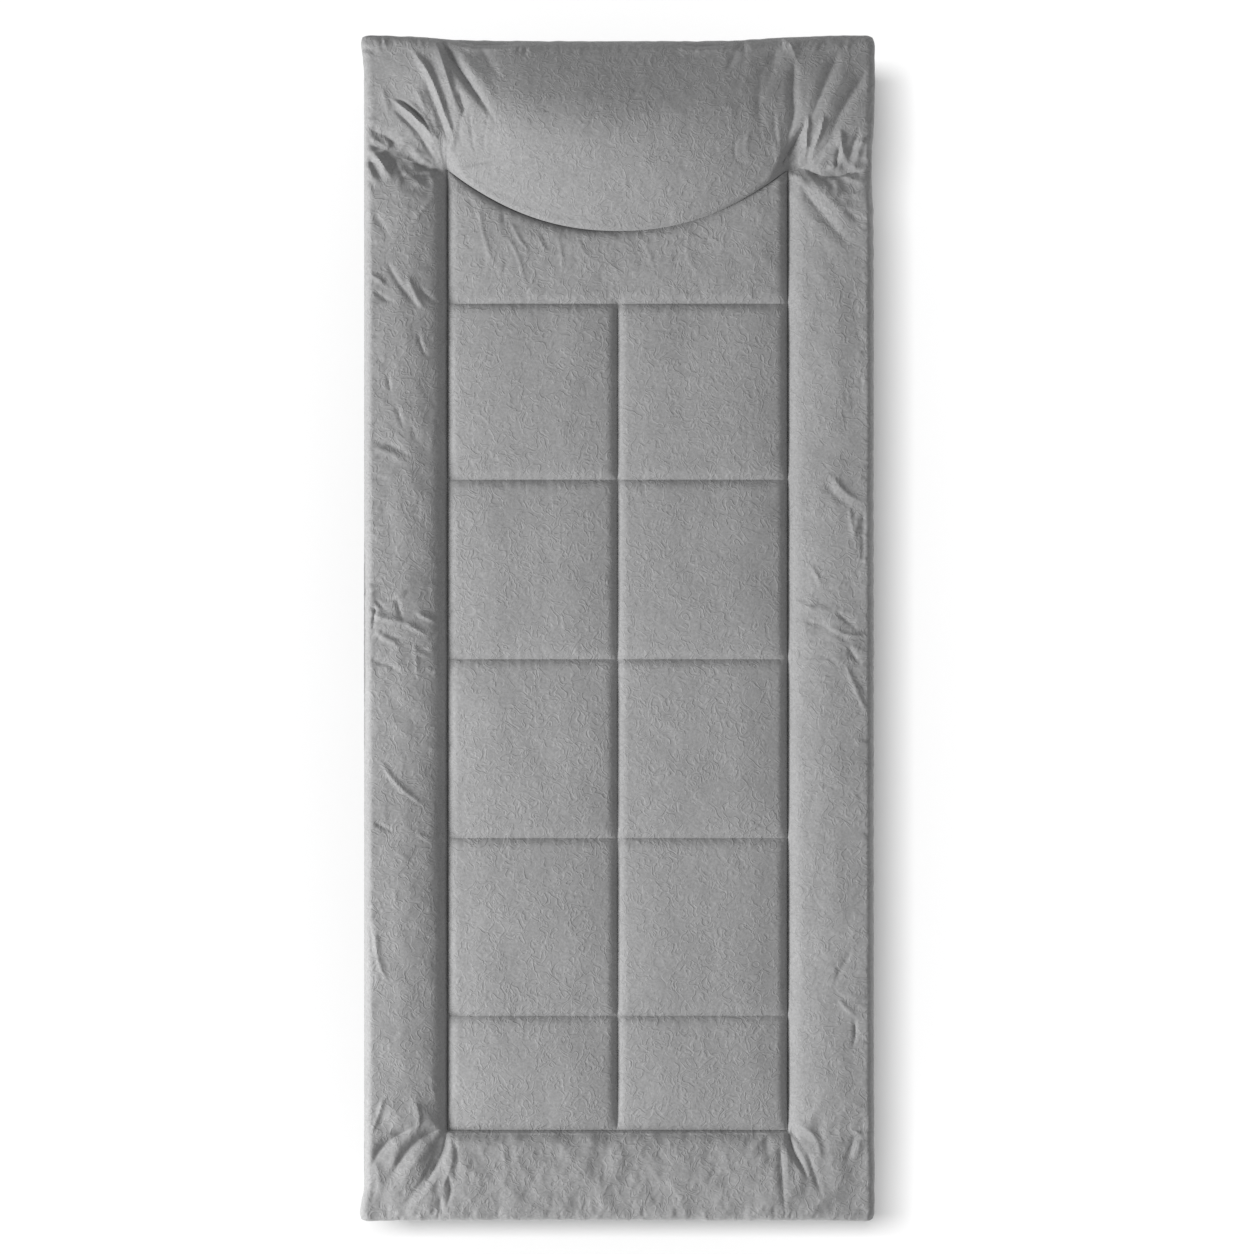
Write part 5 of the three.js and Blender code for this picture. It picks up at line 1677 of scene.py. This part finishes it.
def sling_piece(name, end):
    """The load-bearing cloth with a sleeve along each rail. Returns the piece, the size it was
    cut to and the area of its cloth."""
    low, high = sorted((0.0, end * SLING_END))
    sleeve_low, sleeve_high = SLEEVES[end]
    stitch = RAIL_X - 26.0
    edge = RAIL_X - 18.5
    sleeve_radius = RAIL_RADIUS + 0.3 + 0.75
    rows = np.sort(np.unique(np.concatenate([np.linspace(low, high, 61), SLEEVES[end]])))
    shell = Shell()
    x, y = np.meshgrid(np.linspace(-stitch, stitch, 41), rows)
    z = (-0.35 + 0.25 * noise(x / 60, y / 60, 301)) * eased((stitch - np.abs(x)) / 20)
    shell.grid(np.stack([x, y, z], axis=-1))
    area = 2 * stitch * (high - low)
    # The sleeve's section, from the stitch over the rail, round it and back to a turned hem
    angles = np.linspace(math.pi - 1.0, -math.pi + 1.0, 34)
    loop = [(-26.0, 0.0), (-18.0, 4.2)]
    loop += [(sleeve_radius * math.cos(a), sleeve_radius * math.sin(a)) for a in angles]
    loop = np.array(loop + [(-18.0, -5.2), (-26.0, -1.7), (-32.0, -1.6)])
    girth = np.linalg.norm(np.diff(loop, axis=0), axis=1).sum()
    in_sleeve = rows[(rows >= sleeve_low) & (rows <= sleeve_high)]
    for _, side in SIDES:
        for part in (rows[rows <= sleeve_low], rows[rows >= sleeve_high]):
            x, y = np.meshgrid(side * np.array([stitch, edge]), part)
            shell.grid(np.stack([x, y, np.zeros_like(x)], axis=-1), flip=side < 0)
            area += (edge - stitch) * (part[-1] - part[0])
        corner, y = np.meshgrid(np.arange(len(loop)), in_sleeve)
        x = side * (RAIL_X + loop[corner, 0])
        shell.grid(np.stack([x, y, loop[corner, 1]], axis=-1), flip=side < 0)
        area += girth * (sleeve_high - sleeve_low)
    piece = shell.build(name)
    modified(piece, "SOLIDIFY", thickness=sizes().sling_thickness, offset=0.0)
    smooth_shading(piece)
    width = 2 * stitch + 2 * girth
    return piece, (width * MM, (high - low) * MM), area * MM * MM


# Operators: one for each piece or group of like pieces, and one for the stage

class CAMPBED_OT_finishes(bpy.types.Operator):
    """Makes the finishes of cloth, steel and plastic"""

    bl_idname = "camp_bed.finishes"
    bl_label = "Finishes"

    def execute(self, context):
        groups = {group.name: group for group in (
            melange_group(), crinkle_group(), weave_group(), wear_group(), grain_group())}
        make_cover_fabric(groups)
        make_sling_fabric(groups)
        make_zinc_steel(groups)
        tones = colours()
        make_grained(groups, "coated_steel_finish", tones.coated, grain_size=0.0008, wear_size=0.03,
                     amount=0.06, worn_tone=2.6, rough=(0.46, 0.3), depth=0.00008)
        for name in ("corner_plastic_finish", "glide_plastic_finish"):
            make_grained(groups, name, tones.plastic, grain_size=0.0006, wear_size=0.015,
                         amount=0.12, worn_tone=3.0, rough=(0.5, 0.7), depth=0.00006)
        return {"FINISHED"}


class CAMPBED_OT_stage(bpy.types.Operator):
    """Adds the pale floor, the lights and the camera above the bed"""

    bl_idname = "camp_bed.stage"
    bl_label = "Stage"

    key_place = (-4.6, -1.55, 2.7)
    key_aim = (0.0, 0.0, 0.38)
    key_size = (1.3, 2.2)
    floor_light_place = (-9.8, 9.2, 100.0)
    floor_light_aim = (-9.8, 9.2, 0.0)
    floor_light_size = (22.5, 11.0)
    floor_size = 40.0
    below_glides = -0.0005
    # The camera stands over the middle of the photograph, slightly off the middle of the bed
    camera_place = (0.0153, 0.0024)
    camera_reach = 100.0

    def execute(self, context):
        s = studio()
        deselect()
        bpy.ops.mesh.primitive_plane_add(size=self.floor_size, location=(0, 0, self.below_glides))
        floor = named("floor")
        material, _, _ = new_material(
            "floor_white", Base_Color=tuple(s.floor_colour) + (1.0,), Roughness=0.95)
        floor.data.materials.append(material)
        world = bpy.data.worlds.new("pale_surroundings")
        context.scene.world = world
        world.use_nodes = True
        background = world.node_tree.nodes["Background"].inputs
        background["Color"].default_value = (1, 1, 1, 1)
        background["Strength"].default_value = s.surroundings
        # The raking light leaves the floor out, and the light from above meets only the floor
        on_bed = bpy.data.collections.new("lit_by_key")
        on_floor = bpy.data.collections.new("lit_from_above")
        on_bed.objects.link(floor)
        on_floor.objects.link(floor)
        on_bed.collection_objects[0].light_linking.link_state = "EXCLUDE"
        key = self.lamp("key_light", self.key_place, self.key_aim, self.key_size, s.key_power)
        key.light_linking.receiver_collection = on_bed
        top = self.lamp("floor_light", self.floor_light_place, self.floor_light_aim,
                        self.floor_light_size, s.top_power)
        top.rotation_euler = (0, 0, 0)
        top.light_linking.receiver_collection = on_floor
        self.camera(context, s)
        view = context.scene.view_settings
        view.view_transform = "Standard"
        view.look = "None"
        view.exposure = 0.0
        view.gamma = 1.0
        return {"FINISHED"}

    def lamp(self, name, place, target, size, power):
        """A rectangular light that the camera doesn't see"""
        bpy.ops.object.light_add(type="AREA", location=place)
        lamp = bpy.context.active_object
        lamp.name = name
        lamp.data.shape = "RECTANGLE"
        lamp.data.size, lamp.data.size_y = size
        lamp.data.energy = power
        aim = Vector(target) - Vector(place)
        lamp.rotation_euler = aim.to_track_quat("-Z", "Y").to_euler()
        lamp.visible_camera = False
        return lamp

    def camera(self, context, s):
        """A camera that looks straight down, its lens set by the width that it takes in"""
        bpy.ops.object.camera_add(location=(*self.camera_place, BED_TOP * MM + s.camera_height))
        camera = context.active_object
        camera.name = "camera"
        camera.rotation_euler = (0, 0, 0)
        camera.data.lens = camera.data.sensor_width * s.camera_height / s.frame_width
        camera.data.clip_end = self.camera_reach
        context.scene.camera = camera


class CAMPBED_OT_quilt(bpy.types.Operator):
    """Adds the quilted panel in two lengths that meet at the middle of the fold"""

    bl_idname = "camp_bed.quilt"
    bl_label = "Quilted panel"

    def execute(self, context):
        folds = cover_folds()
        head = quilt_piece("quilt_head", 0.0, PILLOW_Y, folds)
        foot = quilt_piece("quilt_foot", FOOT_SEAM_Y, 0.0, folds)
        cover_finish(foot, "foot_quilt")
        cover_finish(head, "head_quilt", "fold_quilt")
        bend(foot, -1)
        bend(head, 1)
        return {"FINISHED"}


class CAMPBED_OT_border(bpy.types.Operator):
    """Adds the bolsters round the quilt, with their skirts round the rails"""

    bl_idname = "camp_bed.border"
    bl_label = "Bolsters"

    def execute(self, context):
        folds = cover_folds()
        foot = foot_border("border_foot", folds)
        cover_finish(foot, "foot_bolster_left", "foot_bolster_right", "foot_end_bolster")
        bend(foot, -1)
        for word, side in SIDES:
            head = head_border(f"border_head_{word}", side, folds)
            cover_finish(head, f"head_bolster_{word}", f"fold_bolster_{word}")
            bend(head, 1)
        return {"FINISHED"}


class CAMPBED_OT_pillow(bpy.types.Operator):
    """Adds the sewn-in pillow"""

    bl_idname = "camp_bed.pillow"
    bl_label = "Pillow"

    def execute(self, context):
        piece = pillow_piece("pillow_cover", cover_folds())
        cover_finish(piece, "pillow")
        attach(piece, "head_section")
        return {"FINISHED"}


def cover_finish(piece, *nodes):
    """Gives a padded piece of the cover its cloth, in the place of its CAD nodes"""
    piece.data.materials.append(finish("cover_fabric"))
    smooth_shading(piece)
    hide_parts(*nodes)


def bend(piece, end):
    """Puts the place of a piece of the cover or the sling into its mesh, the same way for either half
    """
    if end < 0:
        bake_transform(piece)
    else:
        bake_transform(piece)


class CAMPBED_OT_sling(bpy.types.Operator):
    """Adds the woven sling under the padding"""

    bl_idname = "camp_bed.sling"
    bl_label = "Sling"

    def execute(self, context):
        nodes = {"foot": ("foot_sling", "fold_sling"), "head": ("head_sling",)}
        for half, end in reversed(HALVES):
            piece, flat, area = sling_piece(f"{half}_sling_cloth", end)
            piece.data.materials.append(finish("sling_fabric"))
            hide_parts(*nodes[half])
            bend(piece, end)
        return {"FINISHED"}


class CAMPBED_OT_tubes(bpy.types.Operator):
    """Adds the rails, the end tubes and the cross tubes"""

    bl_idname = "camp_bed.tubes"
    bl_label = "Frame tubes"

    def execute(self, context):
        for half, end in HALVES:
            for word, side in SIDES:
                rail = make_rail(f"rail_{half}_{word}", side, end)
                dressed(rail, "coated_steel", f"{half}_rail_{word}")
            reach = RAIL_X - CORNER_START
            tube = bar(f"end_tube_{half}", RAIL_RADIUS, (-reach, end * END_Y, RAIL_Z),
                       (reach, end * END_Y, RAIL_Z), TUBE_WALL)
            dressed(tube, "coated_steel", f"{half}_end_tube")
        for name, y, start in CROSS_TUBES:
            reach = RAIL_X - start
            tube = bar(f"cross_tube_{name}", CROSS_RADIUS, (-reach, y, RAIL_Z - CROSS_DROP),
                       (reach, y, RAIL_Z - CROSS_DROP), TUBE_WALL, sides=32)
            dressed(tube, "coated_steel", f"{name}_cross_tube")
        return {"FINISHED"}


class CAMPBED_OT_corners(bpy.types.Operator):
    """Adds the four moulded corners"""

    bl_idname = "camp_bed.corners"
    bl_label = "Corner connectors"

    def execute(self, context):
        for half, end in HALVES:
            for word, side in SIDES:
                corner = make_corner(f"corner_{half}_{word}", side, end)
                dressed(corner, "corner_plastic", f"{half}_corner_{word}")
        return {"FINISHED"}


class CAMPBED_OT_hinges(bpy.types.Operator):
    """Adds the two hinge channels and their pins"""

    bl_idname = "camp_bed.hinges"
    bl_label = "Hinges"

    def execute(self, context):
        for word, side in SIDES:
            channel = make_channel(f"channel_{word}", side)
            dressed(channel, "zinc_steel", f"hinge_channel_{word}")
            for half, end in HALVES:
                place = (side * RAIL_X, end * PIN_Y, RAIL_Z)
                pin = make_pin(f"hinge_pin_{half}_{word}", "hinge", place)
                dressed(pin, "zinc_steel", f"{half}_hinge_pin_{word}")
        return {"FINISHED"}


class CAMPBED_OT_legs(bpy.types.Operator):
    """Adds the three U legs with their brackets, pins and glides"""

    bl_idname = "camp_bed.legs"
    bl_label = "Legs"

    def execute(self, context):
        for name, y, outward in LEGS:
            leg = make_leg(f"tube_{name}_leg", y, outward)
            dressed(leg, "coated_steel", f"{name}_leg_tube")
            foot_y = y + outward * LEG_LENGTH * math.sin(LEG_SPLAY)
            for word, side in SIDES:
                x = side * RAIL_X
                bracket = make_bracket(f"bracket_{name}_{word}", x, y, outward)
                dressed(bracket, "zinc_steel", f"{name}_leg_bracket_{word}")
                pin = make_pin(f"leg_pin_{name}_{word}", "leg", (x, y, RAIL_Z - PIVOT_DROP))
                dressed(pin, "zinc_steel", f"{name}_leg_pin_{word}")
                glide = make_glide(f"glide_{name}_{word}", side * GLIDE_X, foot_y)
                dressed(glide, "glide_plastic", f"{name}_leg_glide_{word}")
        return {"FINISHED"}


class CAMPBED_PT_panel(bpy.types.Panel):
    """Lists the bed's sizes, colours and pieces"""

    bl_idname = "CAMPBED_PT_panel"
    bl_label = "Folding Camp Bed"
    bl_space_type = "VIEW_3D"
    bl_region_type = "UI"
    bl_category = "Camp Bed"

    def draw(self, context):
        layout = self.layout
        for settings in (sizes(), colours(), studio()):
            box = layout.box()
            for key in type(settings).__annotations__:
                box.prop(settings, key)
        column = layout.column(align=True)
        for operator in OPERATORS:
            column.operator(operator.bl_idname)


OPERATORS = (
    CAMPBED_OT_finishes,
    CAMPBED_OT_stage,
    CAMPBED_OT_quilt,
    CAMPBED_OT_border,
    CAMPBED_OT_pillow,
    CAMPBED_OT_tubes,
    CAMPBED_OT_corners,
    CAMPBED_OT_hinges,
    CAMPBED_OT_legs,
    CAMPBED_OT_sling,
)
SETTINGS = {"camp_bed_sizes": CampBedSizes, "camp_bed_colours": CampBedColours,
            "camp_bed_studio": CampBedStudio}
CLASSES = tuple(SETTINGS.values()) + OPERATORS + (CAMPBED_PT_panel,)


def register():
    for group in CLASSES:
        bpy.utils.register_class(group)
    for name, settings in SETTINGS.items():
        setattr(bpy.types.Scene, name, bpy.props.PointerProperty(type=settings))


def unregister():
    for name in SETTINGS:
        delattr(bpy.types.Scene, name)
    for group in reversed(CLASSES):
        bpy.utils.unregister_class(group)


def main():
    """Builds every piece"""
    register()
    bpy.ops.camp_bed.finishes()
    bpy.ops.camp_bed.stage()
    bpy.ops.camp_bed.quilt()
    bpy.ops.camp_bed.border()
    bpy.ops.camp_bed.pillow()
    bpy.ops.camp_bed.tubes()
    bpy.ops.camp_bed.corners()
    bpy.ops.camp_bed.hinges()
    bpy.ops.camp_bed.legs()
    bpy.ops.camp_bed.sling()


if __name__ == "__main__":
    main()
